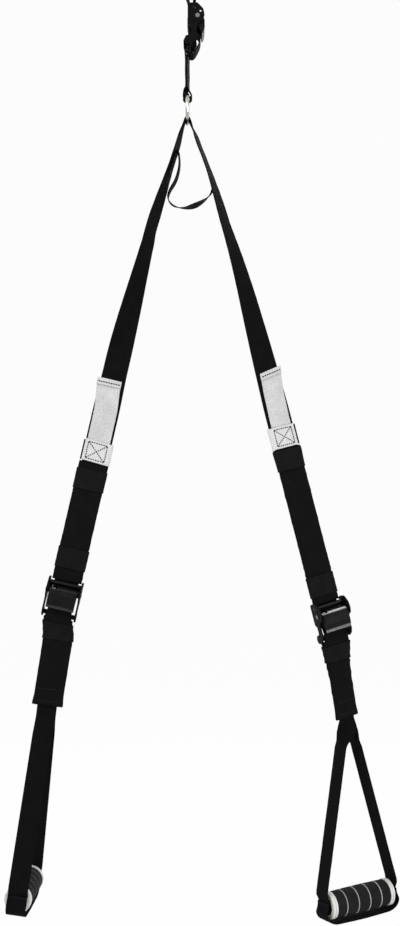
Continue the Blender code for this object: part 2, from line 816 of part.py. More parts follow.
def ring():
    bpy.ops.mesh.primitive_torus_add(
        major_radius=RING_RADIUS, minor_radius=RING_WIRE_RADIUS, major_segments=32, minor_segments=8
    )
    item = bpy.context.active_object
    item.name = "ring"
    item.data.name = "ring"
    for collection in list(item.users_collection):
        collection.objects.unlink(item)
    PARTS.objects.link(item)
    item.data.transform(Matrix.Rotation(math.radians(90), 4, "Y"))
    item.data.transform(Matrix.Translation((0, 0, -RING_RADIUS)))
    item.data.materials.append(STEEL)
    for face in item.data.polygons:
        face.use_smooth = True
    item.location = (0, 0, 0)
    hang(item, "ring_axis")


# The V of webbing


def knee_point(leg):
    return Vector((leg["side"] * leg["knee_out"], 0, -KNEE_DROP))


def yoke_leg(leg):
    """Tangent point on the wrap over the ring, the angle there, and the directions down and across the strap."""
    wire = Vector((0, 0, -RING_DROP - RING_RADIUS))
    wrap = RING_WIRE_RADIUS + GAP + WEBBING / 2
    reach = knee_point(leg) - wire
    slope = math.atan2(abs(reach.x), -reach.z)
    lean = slope - math.asin(wrap / reach.length)
    side = leg["side"]
    start = wire + Vector((side * math.cos(lean), 0, math.sin(lean))) * wrap
    down, across = down_and_across(side, math.degrees(lean))
    return start, lean, down, across


def yoke_row(leg, share):
    """A row of one leg of the V, from the ring (0) to the knee (1)."""
    start, _, _, across = yoke_leg(leg)
    middle = start.lerp(knee_point(leg), share)
    length = (knee_point(leg) - start).length * share
    half_width = mix(RING_BUNCH_WIDTH, WEBBING_WIDTH, ease(length / BUNCH_LENGTH)) / 2
    turn = mix(90.0, leg["knee_turn"], ease(share))
    cup = 1 - ease(length / BUNCH_LENGTH)
    return cupped_row(middle.x, middle.z, 1, cup, half_width, turn, across)


def yoke_strap():
    """The top of the V: up the left leg, over the ring, down the right leg."""
    wire_z = -RING_DROP - RING_RADIUS
    wrap = RING_WIRE_RADIUS + GAP + WEBBING / 2
    _, left_lean, _, _ = yoke_leg(LEFT)
    _, right_lean, _, _ = yoke_leg(RIGHT)
    shares = [1.0, 0.8, 0.6, 0.42, 0.28, 0.18, 0.1]
    rows = [yoke_row(LEFT, share) for share in shares]
    first = math.pi - left_lean
    for index in range(BEND_STEPS + 1):
        angle = mix(first, right_lean, index / BEND_STEPS)
        rows.append(ring_bow(angle, wrap, wrap, 1, 0, wire_z))
    rows += [yoke_row(RIGHT, share) for share in reversed(shares)]
    ribbon("yoke_strap", "yoke_axis", BLACK_WEBBING, rows, across=4)


def limiter_loop():
    """Thin webbing sewn to the inside of both legs of the V, hanging slack between them."""
    half = LIMITER_WIDTH / 2
    offset = (WEBBING + LIMITER) / 2 + GAP

    def seam(leg, share):
        start, _, _, across = yoke_leg(leg)
        width, back = turned_axes(across, mix(90.0, leg["knee_turn"], ease(share)))
        middle = start.lerp(knee_point(leg), share) + back * (leg["side"] * offset)
        return flat_row(middle, width * half)

    ring_foot = Vector((0, 0, -RING_DROP - RING_RADIUS))
    route = []
    for x_share, down_share, _ in LIMITER_ROUTE_SHARES:
        route.append(ring_foot + Vector((LIMITER_SPAN * x_share, 0, -LIMITER_SPAN * down_share)))
    rows = [seam(LEFT, share) for share in LEFT_SEAM_SHARES]
    for index, middle in enumerate(route):
        before = route[max(index - 1, 0)]
        after = route[min(index + 1, len(route) - 1)]
        tangent = (after - before).normalized()
        turn = math.radians(LIMITER_ROUTE_SHARES[index][2])
        in_plane = Vector((-tangent.z, 0, tangent.x))
        width = Y_AXIS * math.sin(turn) + in_plane * math.cos(turn)
        rows.append(flat_row(middle, width * half))
    rows += [seam(RIGHT, share) for share in RIGHT_SEAM_SHARES]
    ribbon("limiter_loop", "yoke_axis", BLACK_WEBBING, rows, LIMITER)


# Legs


def leg_axes(leg):
    down, across = down_and_across(leg["side"], leg["lean"])
    knee = Vector((leg["side"] * leg["line_out"], 0, -KNEE_DROP))
    return knee, down, across


def leg_turn(leg, s):
    """How far the webbing is turned about its length: nearly edge-on at the knee, flat further down."""
    yaw = leg["yaw"]
    patch_yaw = yaw * PATCH_YAW_SHARE
    if s < UNTWIST_LENGTH:
        return mix(leg["knee_turn"], patch_yaw, (max(s, 0) / UNTWIST_LENGTH) ** UNTWIST_POWER)
    patch_end = leg["patch"] + PATCH_HEIGHT
    return mix(patch_yaw, yaw, min(max((s - patch_end) / SETTLED_LENGTH, 0), 1))


def leg_place(leg, x, d, s):
    """The point x across, d in front of the strap's middle and s down the leg."""
    knee, down, across = leg_axes(leg)
    if s < KNEE_EASE:
        across = yoke_leg(leg)[3].lerp(across, ease(s / KNEE_EASE)).normalized()
    width, back = turned_axes(across, leg_turn(leg, s))
    drift = (leg["line_out"] - leg["knee_out"]) * max(1 - s / KNEE_EASE, 0) ** 2
    return knee + down * s - X_AXIS * (leg["side"] * drift) + width * x - back * d


def leg_row(leg, d, s, half_width=WEBBING_WIDTH / 2):
    low = leg_place(leg, -half_width, d, s)
    high = leg_place(leg, half_width, d, s)
    return flat_row((low + high) / 2, (high - low) / 2)


def bar_place(leg):
    return leg["buckle"] + END_BAR_DROP


def low_turn(leg, drop):
    return mix(leg["yaw"], leg["low_yaw"], min(max(drop / LOW_TWIST_LENGTH, 0), 1))


def low_place(leg, x, d, drop):
    """The point below the end bar: the leg's own line first, then the line on which the handle hangs."""
    shift = leg["low_shift"] * ease((drop - BUCKLE_LENGTH + END_BAR_DROP) / CONVERGE_LENGTH)
    on_leg = leg_place(leg, x + shift, d, bar_place(leg) + drop)
    bar = leg_place(leg, shift, -END_BAR_BACK, bar_place(leg))
    down, across = down_and_across(leg["side"], leg["low_lean"])
    width, back = turned_axes(across, low_turn(leg, drop))
    on_low = bar + down * drop + width * x - back * (d + END_BAR_BACK)
    return on_leg.lerp(on_low, ease(drop / BEND_LENGTH))


def low_row(leg, d, drop, half_width=WEBBING_WIDTH / 2):
    low = low_place(leg, -half_width, d, drop)
    high = low_place(leg, half_width, d, drop)
    return flat_row((low + high) / 2, (high - low) / 2)


def steps_between(low, high, count):
    return [mix(low, high, index / count) for index in range(count + 1)]


def stations_between(low, high):
    """Both ends, and every whole station between them, so that layers bend at the same places."""
    first = math.ceil(low / STATION + 0.25)
    last = math.floor(high / STATION - 0.25)
    return [low] + [STATION * index for index in range(first, last + 1)] + [high]


def upper_webbing(leg, frame):
    """Main strap from the knee to the middle of the patch, with its twist."""
    end = leg["patch"] + PATCH_HEIGHT / 2
    places = steps_between(GAP, UNTWIST_LENGTH, 12) + steps_between(UNTWIST_LENGTH, end, 6)[1:]
    ribbon(leg["name"] + "_main_strap", frame, BLACK_WEBBING, [leg_row(leg, 0, s) for s in places])


def tab_row(leg, d, s):
    """A row of the pull tab, which lies a little askew on the strap, further out at its top."""
    share = (s - leg["tab"]) / (leg["patch"] - leg["tab"])
    shift = leg["side"] * mix(TAB_ASKEW_TOP, TAB_ASKEW_FOOT, min(max(share, 0), 1))
    low = leg_place(leg, shift - TAB_WIDTH / 2, d, s)
    high = leg_place(leg, shift + TAB_WIDTH / 2, d, s)
    return flat_row((low + high) / 2, (high - low) / 2)


def pull_tab(leg, frame):
    """White webbing over the main strap: hemmed at its top, bowed a little, sewn under the patch."""
    back_layer = (WEBBING + TAB_THICKNESS) / 2 + GAP
    hem_layer = back_layer + TAB_THICKNESS + GAP
    top = leg["tab"]
    bottom = leg["patch"] + PATCH_HEIGHT - TAB_HEM / 2
    fold = (TAB_THICKNESS + GAP) / 2
    rows = [tab_row(leg, hem_layer, top + TAB_HEM)]
    for index in range(5):
        angle = math.pi * index / 4
        d = (back_layer + hem_layer) / 2 + fold * math.cos(angle)
        rows.append(tab_row(leg, d, top + fold - fold * math.sin(angle)))
    rows.append(tab_row(leg, back_layer, top + TAB_HEM))
    bowed = leg["patch"] - top - TAB_HEM * 1.5
    for index in range(1, 8):
        share = index / 8
        bow = TAB_BOW * math.sin(math.pi * share) ** 2
        rows.append(tab_row(leg, back_layer + bow, top + TAB_HEM + bowed * share))
    rows.append(tab_row(leg, back_layer, leg["patch"] - TAB_HEM / 2))
    rows.append(tab_row(leg, back_layer, bottom))
    ribbon(leg["name"] + "_pull_tab", frame, WHITE_WEBBING, rows, TAB_THICKNESS)


def leg_hoop(leg, name, frame, material, places, half_width, half_depth, middle_d, wall, rib=0.0):
    """A band or cover round the upper leg, with a ring at each place."""
    rings = []
    for index, s in enumerate(places):
        swell = rib * (index % 2)

        def ring_at(turn, s=s, swell=swell):
            x, d = flattened(turn, half_width + swell / 2, half_depth + swell)
            return leg_place(leg, x, middle_d + d, s)

        rings.append(ring_at)
    hoop(name, frame, material, rings, wall)


def patch(leg, frame):
    """Black band round the splice and a white patch on its front, set towards the inside of the V."""
    name = leg["name"]
    band_back = -WEBBING / 2 - GAP - CLOTH / 2
    band_front = WEBBING / 2 + GAP + TAB_THICKNESS + GAP + CLOTH / 2
    middle = (band_back + band_front) / 2
    start = leg["patch"] + BAND_INSET
    end = leg["patch"] + PATCH_HEIGHT - BAND_INSET
    half_width = BAND_WIDTH / 2 - CLOTH / 2
    half_depth = (band_front - band_back) / 2
    leg_hoop(
        leg, name + "_splice_band", frame, BLACK_WEBBING, (start, end), half_width, half_depth, middle, CLOTH
    )
    shift = -leg["side"] * (BAND_WIDTH - PATCH_WIDTH) / 2
    front = band_front + CLOTH / 2 + GAP + PATCH_THICKNESS / 2
    rows = []
    for s in (leg["patch"], leg["patch"] + PATCH_HEIGHT):
        low = leg_place(leg, shift - PATCH_WIDTH / 2, front, s)
        high = leg_place(leg, shift + PATCH_WIDTH / 2, front, s)
        rows.append(flat_row((low + high) / 2, (high - low) / 2))
    ribbon(name + "_patch", frame, WHITE_PATCH, rows, PATCH_THICKNESS)


def adjusting_strap(leg, frame):
    """From the splice through the cam and past the end bar, to its end inside the lower cover."""
    name = leg["name"] + "_adjusting_strap"
    start = leg["patch"] + PATCH_HEIGHT / 2 + GAP
    cam_end = leg["buckle"] + BASE_END_DROP
    settled_at = leg["patch"] + PATCH_HEIGHT + SETTLED_LENGTH
    twisting = leg["patch"] + PATCH_HEIGHT
    rows = [leg_row(leg, 0, start)]
    if leg["yaw"]:
        rows += [leg_row(leg, 0, s) for s in stations_between(twisting, settled_at)]
    rows += [leg_row(leg, 0, leg["buckle"]), leg_row(leg, 0, cam_end)]
    wrap = END_BAR_RADIUS + GAP + WEBBING / 2
    front_of_loop = -END_BAR_BACK + wrap + LAYER
    ready = bar_place(leg) - wrap
    for index in range(1, 5):
        share = index / 4
        rows.append(leg_row(leg, front_of_loop * ease(share), mix(cam_end, ready, share)))
    for drop in LOW_STATIONS:
        rows.append(low_row(leg, loop_front(drop) + LAYER, drop))
    ribbon(name, frame, BLACK_WEBBING, rows, across=2)


def loop_front(drop):
    """Middle of the handle strap's front layer: round the end bar, then down against the back layer."""
    wrap = END_BAR_RADIUS + GAP + WEBBING / 2
    return mix(wrap, LAYER / 2, ease(drop / CONVERGE_LENGTH)) - END_BAR_BACK


def upper_cover(leg, frame):
    """Cloth cover on the adjusting strap, with an elastic keeper near its top and a ribbed one at its foot."""
    name = leg["name"]
    start = leg["patch"] + PATCH_HEIGHT + BAND_INSET
    settled_at = leg["patch"] + PATCH_HEIGHT + SETTLED_LENGTH
    end = leg["buckle"] + COVER_ENTRY
    half_width = COVER_WIDTH / 2 - CLOTH / 2
    half_depth = WEBBING / 2 + COVER_ROOM + CLOTH / 2
    places = stations_between(start, settled_at) if leg["yaw"] else [start]
    places.append(end)
    leg_hoop(leg, name + "_upper_cover", frame, BLACK_CLOTH, places, half_width, half_depth, 0, CLOTH)
    band_width = half_width + CLOTH + GAP
    band_depth = half_depth + CLOTH + GAP
    top = leg["patch"] + PATCH_HEIGHT + leg["keeper_gap"]
    places = stations_between(top, top + KEEPER_HEIGHT) if leg["yaw"] else [top, top + KEEPER_HEIGHT]
    leg_hoop(leg, name + "_keeper_top", frame, ELASTIC, places, band_width, band_depth, 0, CLOTH)
    middle = leg["buckle"] - leg["keeper_rise"]
    places = steps_between(middle, middle + KEEPER_HEIGHT, KEEPER_RIBS)
    leg_hoop(leg, name + "_keeper_mid", frame, ELASTIC, places, band_width, band_depth, 0, CLOTH, KEEPER_RIB)


def lower_cover(leg, frame):
    """Cloth cover from under the lever, in front of the end bar, down to where the handle strap divides."""
    name = leg["name"]
    half_width = COVER_WIDTH / 2 - CLOTH / 2
    bottom = leg["cover_low"]

    def half_depth(drop):
        return mix(COVER_LOOSE, COVER_SNUG, ease((drop - COVER_TOP_DROP) / CONVERGE_LENGTH))

    def slanted_ring(share):
        def ring(turn):
            _, front = flattened(turn, 1.0, 1.0)
            top = COVER_TOP_DROP - COVER_FLAP * ease((front - FLAP_START_SHARE) / (1 - FLAP_START_SHARE))
            drop = mix(top, KEEPER_LOW_DROP, share)
            x, d = flattened(turn, half_width, half_depth(drop))
            return low_place(leg, x, d - COVER_MIDDLE_BACK, drop)

        return ring

    def level_ring(drop, extra):
        def ring(turn):
            x, d = flattened(turn, half_width + extra, half_depth(drop) + extra)
            return low_place(leg, x, d - COVER_MIDDLE_BACK, drop)

        return ring

    keeper_drops = [drop for drop in LOW_STATIONS if 0 <= drop - KEEPER_LOW_DROP <= KEEPER_LOW_HEIGHT]
    below = LOW_STATIONS[LOW_STATIONS.index(keeper_drops[-1]) + 1 :]
    below += steps_between(LOW_STATIONS[-1], bottom, LOWER_STEPS // 2)[1:]
    rings = [slanted_ring(0), slanted_ring(0.5)]
    rings += [level_ring(drop, 0) for drop in keeper_drops + below]
    hoop(name + "_lower_cover", frame, BLACK_CLOTH, rings, CLOTH)
    keeper = [level_ring(drop, CLOTH + GAP) for drop in keeper_drops]
    hoop(name + "_keeper_low", frame, ELASTIC, keeper, CLOTH)


# Handle


def handle_axes(leg):
    """Where the handle strap divides, the middle of the grip, and the directions of the grip and of up."""
    fork = low_place(leg, 0, -END_BAR_BACK, leg["cover_low"])
    down, across = down_and_across(leg["side"], leg["handle_lean"])
    grip, behind = turned_axes(across, leg["grip_yaw"])
    return fork, fork + down * leg["handle_drop"], grip, behind, down, across


def branch_spread(leg, drop):
    """Half the distance between the branches: held together at the cover's mouth, then straight to the grip."""
    straight = leg["handle_drop"] - BRANCH_STRAIGHT
    widest = BRANCH_STAND + BRANCH_BULGE
    if drop > straight:
        return mix(widest, BRANCH_STAND, ease((drop - straight) / (BRANCH_STRAIGHT - BRANCH_SEAM_TOP)))
    share = (drop + BRANCH_CROSSING_RISE) / (straight + BRANCH_CROSSING_RISE)
    return widest * share * ease(drop / BRANCH_OPEN_LENGTH)


def branch_row(leg, end, layer, drop, half_width=HANDLE_WIDTH / 2):
    """A row of one branch, which turns from the cover's width to face its fellow."""
    fork, _, grip, _, down, across = handle_axes(leg)
    twisted = ease(drop / BRANCH_TWIST_LENGTH)
    width, back = turned_axes(across, mix(leg["low_yaw"], leg["grip_yaw"] + leg["branch_turn"], twisted))
    spread = grip * (end * branch_spread(leg, drop))
    apart = back * (-layer * LAYER / 2 * (1 - twisted))
    return flat_row(fork + down * drop + spread + apart, width * half_width)


def branch_rows(leg, end, layer):
    """One branch from the fork to the run through the grip: end is -1 or 1 along the grip."""
    _, middle, grip, behind, down, _ = handle_axes(leg)
    straight = leg["handle_drop"] - BRANCH_STRAIGHT
    drops = steps_between(0, BRANCH_TWIST_LENGTH, 8)[1:] + steps_between(BRANCH_TWIST_LENGTH, straight, 3)[1:]
    rows = [branch_row(leg, end, layer, drop) for drop in drops + [leg["handle_drop"] - BRANCH_SEAM_TOP]]
    for index in range(BEND_STEPS // 2 + 1):
        share = index / (BEND_STEPS // 2)
        angle = math.pi / 2 * share
        reach = BRANCH_STAND - BRANCH_ROUND * (1 - math.cos(angle))
        height = BRANCH_ROUND * (1 - math.sin(angle))
        turn = 1 if leg["branch_turn"] > 0 else -1
        rows.append(flat_row(middle + grip * (end * reach) - down * height, behind * (turn * CORE_WIDTH / 2)))
    return rows


def handle_strap(leg, frame):
    """One closed loop: round the end bar, down in two layers, apart into branches and through the grip."""
    front_end = 1 if leg["branch_turn"] > 0 else -1
    wrap = END_BAR_RADIUS + GAP + WEBBING / 2
    rows = []
    for index in range(BEND_STEPS + 1):
        angle = math.pi * (1 - index / BEND_STEPS)
        rows.append(low_row(leg, wrap * math.cos(angle) - END_BAR_BACK, -wrap * math.sin(angle), HANDLE_WIDTH / 2))

    def layer_rows(layer):
        places = LOW_STATIONS[1:] + steps_between(LOW_STATIONS[-1], leg["cover_low"], LOWER_STEPS)[1:]
        depths = [layer * (loop_front(drop) + END_BAR_BACK) - END_BAR_BACK for drop in places]
        return [low_row(leg, d, drop, HANDLE_WIDTH / 2) for d, drop in zip(depths, places)]

    rows += layer_rows(1)
    rows += branch_rows(leg, front_end, 1)
    rows += branch_rows(leg, -front_end, -1)[::-1]
    rows += layer_rows(-1)[::-1]
    rows.append(rows[0])
    ribbon(leg["name"] + "_handle_strap", frame, BLACK_WEBBING, rows, across=2, closed=True)


def foot_loop(leg, frame):
    """Webbing sewn outside both branches, hanging in a flat U under the grip."""
    _, middle, grip, behind, down, _ = handle_axes(leg)
    stand = BRANCH_STAND + LAYER
    half = behind * (HANDLE_WIDTH / 2)
    path = [(-stand, FOOT_LOOP_SEAM), (-stand, -FOOT_LOOP_STRAIGHT)]
    shoulder_height = FOOT_LOOP_DROP - FOOT_LOOP_STRAIGHT
    for index in range(1, 7):
        angle = math.pi / 2 * index / 6
        x = stand - FOOT_LOOP_SHOULDER * (1 - math.cos(angle))
        path.append((-x, -FOOT_LOOP_STRAIGHT - shoulder_height * math.sin(angle)))
    path.append((0, -FOOT_LOOP_DROP - FOOT_LOOP_SAG))
    path += [(-x, height) for x, height in path[-2::-1]]
    rows = [flat_row(middle + grip * x - down * height, half) for x, height in path]
    ribbon(leg["name"] + "_foot_loop", frame, BLACK_WEBBING, rows)


def grip_tube(leg, frame):
    half = GRIP_LENGTH / 2 - CAP_EDGE
    inner = TUBE_RADIUS - TUBE_WALL
    profile = [(TUBE_RADIUS, half), (TUBE_RADIUS, -half), (inner, -half), (inner, half)]
    turned(leg["name"] + "_grip_tube", frame, TUBE_PLASTIC, profile, closed=True)


def ring_places():
    return [GRIP_RING_PITCH * (index - (GRIP_RINGS - 1) / 2) for index in range(GRIP_RINGS)]


def foam_radius(place):
    return GRIP_RADIUS - GAP - FOAM_CROWN * (2 * place / FOAM_LENGTH) ** 2


def grip_foam(leg, frame):
    """Foam sleeve with a shallow groove for each ring."""
    half = FOAM_LENGTH / 2
    inner = TUBE_RADIUS + GAP
    groove = GRIP_RING_WIDTH / 2 + GAP
    profile = [(inner, half), (foam_radius(half) - CAP_GROOVE, half), (foam_radius(half), half - CAP_GROOVE)]
    for place in reversed(ring_places()):
        depth = foam_radius(place) - GRIP_RING_DEPTH - GAP
        profile += [
            (foam_radius(place), place + groove),
            (depth, place + groove),
            (depth, place - groove),
            (foam_radius(place), place - groove),
        ]
    profile += [(foam_radius(half), CAP_GROOVE - half), (foam_radius(half) - CAP_GROOVE, -half), (inner, -half)]
    turned(leg["name"] + "_grip_foam", frame, FOAM, profile, closed=True)


def grip_rings(leg, frame):
    """Thin rings let into the foam, so that the hand finds its place."""
    half = GRIP_RING_WIDTH / 2
    for index, place in enumerate(ring_places()):
        inner = foam_radius(place) - GRIP_RING_DEPTH
        outer = foam_radius(place) + GAP
        profile = [(outer, place + half), (outer, place - half), (inner, place - half), (inner, place + half)]
        turned(f"{leg['name']}_grip_ring_{index + 1}", frame, SILVER_RING, profile, closed=True)


def grip_cap(leg, frame, end):
    """White end cap: a flange with a groove near the foam, over the end of the tube."""
    face = GRIP_LENGTH / 2
    seat = FOAM_LENGTH / 2 + GAP
    bore = TUBE_RADIUS + GAP
    mouth = TUBE_RADIUS - TUBE_WALL
    shelf = GRIP_LENGTH / 2 - CAP_EDGE + GAP
    groove = face - CAP_FLANGE
    profile = [
        (mouth, face),
        (GRIP_RADIUS - CAP_EDGE, face),
        (GRIP_RADIUS, face - CAP_EDGE),
        (GRIP_RADIUS, groove),
        (GRIP_RADIUS - CAP_GROOVE, groove),
        (GRIP_RADIUS - CAP_GROOVE, groove - CAP_GROOVE),
        (GRIP_RADIUS, groove - CAP_GROOVE),
        (GRIP_RADIUS, seat),
        (bore, seat),
        (bore, shelf),
        (mouth, shelf),
    ]
    if end < 0:
        profile = [(radius, -place) for radius, place in reversed(profile)]
    side_name = "near" if end < 0 else "far"
    turned(f"{leg['name']}_grip_cap_{side_name}", frame, WHITE_PLASTIC, profile, closed=True)


def build_leg(leg):
    name = leg["name"]
    knee, down, across = leg_axes(leg)
    hinge = knee_point(leg)
    width, back = turned_axes(across, leg["yaw"])
    leg_frame = name + "_leg_axis"
    place_frame(leg_frame, frame_matrix(hinge, across, Y_AXIS, -down))
    upper_webbing(leg, leg_frame)
    pull_tab(leg, leg_frame)
    patch(leg, leg_frame)
    adjusting_strap(leg, leg_frame)
    upper_cover(leg, leg_frame)

    cam_buckle(name + "_", frame_matrix(knee + down * leg["buckle"], width, back, -down))

    handle_frame = name + "_handle_axis"
    bar = leg_place(leg, 0, -END_BAR_BACK, bar_place(leg))
    place_frame(handle_frame, frame_matrix(bar, width, back, -down))
    lower_cover(leg, handle_frame)
    handle_strap(leg, handle_frame)

    _, middle, grip, behind, handle_down, _ = handle_axes(leg)
    grip_frame = name + "_grip_axis"
    place_frame(grip_frame, frame_matrix(middle, grip, behind, -handle_down))
    foot_loop(leg, grip_frame)
    grip_tube(leg, grip_frame)
    grip_foam(leg, grip_frame)
    grip_rings(leg, grip_frame)
    grip_cap(leg, grip_frame, -1)
    grip_cap(leg, grip_frame, 1)


def build():
    place_frame("anchor", Matrix.Identity(4))
    place_frame("ring_axis", Matrix.Translation((0, 0, -RING_DROP + RING_RADIUS)))
    place_frame("yoke_axis", Matrix.Translation((0, 0, -RING_DROP - RING_RADIUS)))
    anchor_seat = Vector((ANCHOR_STRAP_X, 0, -ANCHOR_BUCKLE_DROP))
    anchor_strap()
    cam_buckle("anchor_", frame_matrix(anchor_seat, Y_AXIS, -X_AXIS, Z_AXIS))
    stub_strap()
    ring()
    yoke_strap()
    limiter_loop()
    build_leg(LEFT)
    build_leg(RIGHT)


build()
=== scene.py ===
"""Looks of the suspension trainer: webbing, cloth covers, stitching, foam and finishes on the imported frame.

Metres, +Z up, the viewer looks along +Y. The origin is the middle of the bar that the anchor loop hangs on.
Each leg is placed along its own line: x across the webbing, d in front of its middle plane, s down the leg.
"""

import math

import bpy
from mathutils import Matrix, Vector, noise


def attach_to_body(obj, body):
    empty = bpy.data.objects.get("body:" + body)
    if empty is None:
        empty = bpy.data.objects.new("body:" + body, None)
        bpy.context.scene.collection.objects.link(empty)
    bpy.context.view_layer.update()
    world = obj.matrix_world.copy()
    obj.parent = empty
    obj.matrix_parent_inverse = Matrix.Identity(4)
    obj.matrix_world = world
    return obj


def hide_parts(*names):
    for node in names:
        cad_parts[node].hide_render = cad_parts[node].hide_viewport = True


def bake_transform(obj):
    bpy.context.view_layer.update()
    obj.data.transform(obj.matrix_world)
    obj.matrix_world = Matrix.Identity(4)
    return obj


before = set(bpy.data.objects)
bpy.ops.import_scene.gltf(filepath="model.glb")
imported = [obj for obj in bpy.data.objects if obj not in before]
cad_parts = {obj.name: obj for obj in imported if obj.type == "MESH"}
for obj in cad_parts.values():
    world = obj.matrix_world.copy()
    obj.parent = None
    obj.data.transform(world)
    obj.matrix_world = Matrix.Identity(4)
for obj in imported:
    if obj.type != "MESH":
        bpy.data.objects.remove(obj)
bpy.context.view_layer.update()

# Dimensions in metres, most of them the same as the solids have
WEBBING_WIDTH = 0.040
WEBBING = 0.0018
GAP = 0.0003
LAYER = WEBBING + GAP
CLOTH = 0.001

# Anchor loop, stub and ring
BAR_ROOM_RADIUS = 0.020
ANCHOR_BUCKLE_DROP = 0.0823
ANCHOR_STRAP_X = 0.0037
# Grey of the painted highlight and the painted reflection on the anchor lever
ANCHOR_PAINTED_LIGHT = 0.05
FIXED_END_LENGTH = 0.028
TAIL_REACH = 0.0145
TAIL_LENGTH = 0.062
RING_DROP = 0.2492
RING_RADIUS = 0.0235
RING_WIRE_RADIUS = 0.003
RING_WRAP = RING_WIRE_RADIUS + GAP + WEBBING / 2
RING_BUNCH_WIDTH = 0.028
BUNCH_LENGTH = 0.045
STUB_LOOP_HALF_WIDTH = 0.0068
STUB_SPREAD_LENGTH = 0.026
STUB_OPEN_LENGTH = 0.010
STUB_YAW_SHARE = 0.10

# The V, its limiter loop and the webbing of each leg
KNEE_DROP = 0.4343
KNEE_EASE = 0.130
LIMITER_WIDTH = 0.020
LIMITER = 0.0015
LIMITER_SPAN = 0.080
UNTWIST_LENGTH = 0.252
RING_UNTWIST_LENGTH = 0.030
RING_UNTWIST_SHARE = 0.35
LEG_BOW_PLACE = 0.085
LEG_BOW_LENGTH = 0.090
LEG_WIDEN_PLACE = 0.240
LEG_WIDEN_LENGTH = 0.090
LEG_WIDEN = 0.0018
PATCH_YAW_SHARE = 0.75
SETTLED_LENGTH = 0.040

# Tab, patch and the band round the splice
TAB_THICKNESS = 0.0016
TAB_BOW = 0.0030
TAB_ASKEW_TOP = 0.0055
TAB_ASKEW_FOOT = 0.0003
TAB_SETTLE_SHARE = 0.55
TAB_HEM = 0.011
PATCH_HEIGHT = 0.0354
PATCH_WIDTH = 0.0468
PATCH_THICKNESS = 0.0016
PATCH_OVERHANG = 0.0008
PATCH_SHORT = 0.0012
PATCH_WRAP = 0.0030
BAND_WIDTH = 0.049
BAND_INSET = 0.001

# Cam buckle
BUCKLE_LENGTH = 0.067
PIVOT_DROP = 0.021
PIVOT_FRONT = 0.013
GUIDE_DROP = 0.008
GUIDE_FRONT = 0.0078
GUIDE_RADIUS = 0.0025
BASE_WIDE_DROP = 0.026
BASE_END_DROP = 0.036
END_BAR_DROP = 0.060
END_BAR_BACK = 0.0042
END_BAR_RADIUS = 0.004
BAR_WRAP = END_BAR_RADIUS + GAP + WEBBING / 2
LEVER_FRONT = 0.0118
LEVER_REACH = 0.029

# Sleeves and keepers
COVER_WIDTH = 0.049
COVER_ROOM = 0.0006
COVER_ENTRY = 0.0035
COVER_TOP_DROP = 0.007
COVER_FLAP = 0.018
FLAP_START_SHARE = 0.70
COVER_LOOSE = 0.0084
COVER_SNUG = 0.0043
COVER_MIDDLE_BACK = 0.0032
KEEPER_HEIGHT = 0.034
KEEPER_LOW_HEIGHT = 0.0275
KEEPER_LOW_DROP = 0.014
WRINKLE_RISE = 1.7
WRINKLE_SLANT = 0.02

# Strap's end, handle strap and foot loop below the end bar
CONVERGE_LENGTH = 0.030
BEND_LENGTH = 0.040
ADJUSTER_TAIL = 0.062
LOW_TWIST_LENGTH = 0.070
BRANCH_TWIST_LENGTH = 0.045
BRANCH_OPEN_START = 0.014
BRANCH_OPEN_LENGTH = 0.036
BRANCH_PARTING_LENGTH = 0.060
BRANCH_CROSSING_RISE = 0.0176
BRANCH_STRAIGHT = 0.020
BRANCH_BULGE = 0.0045
BRANCH_SEAM_TOP = 0.0075
BRANCH_ROUND = 0.006
BRANCH_STAND = 0.0650
BRANCH_TURN = -90.0
HANDLE_WIDTH = 0.032
CORE_WIDTH = 0.0288
FOOT_LOOP_DROP = 0.0275
FOOT_LOOP_SAG = 0.001
FOOT_LOOP_BULGE = 0.0045
FOOT_LOOP_SEAM = 0.008
FOOT_LOOP_SHOULDER = 0.020
FOOT_LOOP_STRAIGHT = 0.010

# Grip
GRIP_RADIUS = 0.0222
FOAM_LENGTH = 0.105
FOAM_CROWN = 0.0006
TUBE_RADIUS = 0.017
GRIP_RINGS = 4
GRIP_RING_PITCH = 0.0227
GRIP_RING_WIDTH = 0.0012
GRIP_RING_DEPTH = 0.0008

# Steps between rows, and the webbing's thinned edges
ROW_STEP = 0.005
FINE_STEP = 0.004
CLOTH_STEP = 0.0022
ELASTIC_STEP = 0.0012
RIPPLE_SIZE = 0.013
SELVAGE_SHARE = 0.6
SELVAGE_ROUND = 0.14

# Stage and camera
FLOOR_DROP = 1.75
FLOOR_REACH = 9.0
SENSOR_HEIGHT = 24.0
VIEW_HALF_TANGENT = 0.33115
CAMERA_PLACE = (0.0206, -2.3, -0.8307)
LIT_PLACE = (0.0, 0.0, -0.85)

# Fine forms: seams and hems, rounding and waviness of cloth and webbing, dents of the foam
SEAM_REACH = 0.84
BOX_SEAM_INSET = 0.004
BOX_SEAM_END = 0.003
STUB_SEAM_REACH = 0.82
TWIN_SEAM = 0.12
LIMITER_SEAM_REACH = 0.85
LIMITER_STEP = 0.003
RING_CLEARANCE = 0.006
KNEE_CLEARANCE = 0.004
BAR_CLEARANCE = 0.003
LONG_WAVE = 0.0003
TAB_WAVE = 0.0002
TAB_STEP = 0.0025
TAB_ROWS = 22
HEM_WIDER = 1.03
BAND_STEP = 0.003
PATCH_WAVE = 0.0001
PATCH_FRAY = 0.0004
PATCH_SIDE_SINK = 0.0005
PATCH_END_SINK = 0.0004
PATCH_END_ROUND = 0.003
PATCH_SEAM_INNER = 0.0092
PATCH_SEAM_OUTER = 0.0056
PATCH_SEAM_END = 0.0040
THREAD_SINK = 0.0001
THREAD_RISE = 0.0002
HEM_WIDTH = 0.004
SLEEVE_WANDER = 0.00035
LOW_SLEEVE_WANDER = 0.0004
KEEPER_PINCH = 0.003
KEEPER_RIB = 0.00045
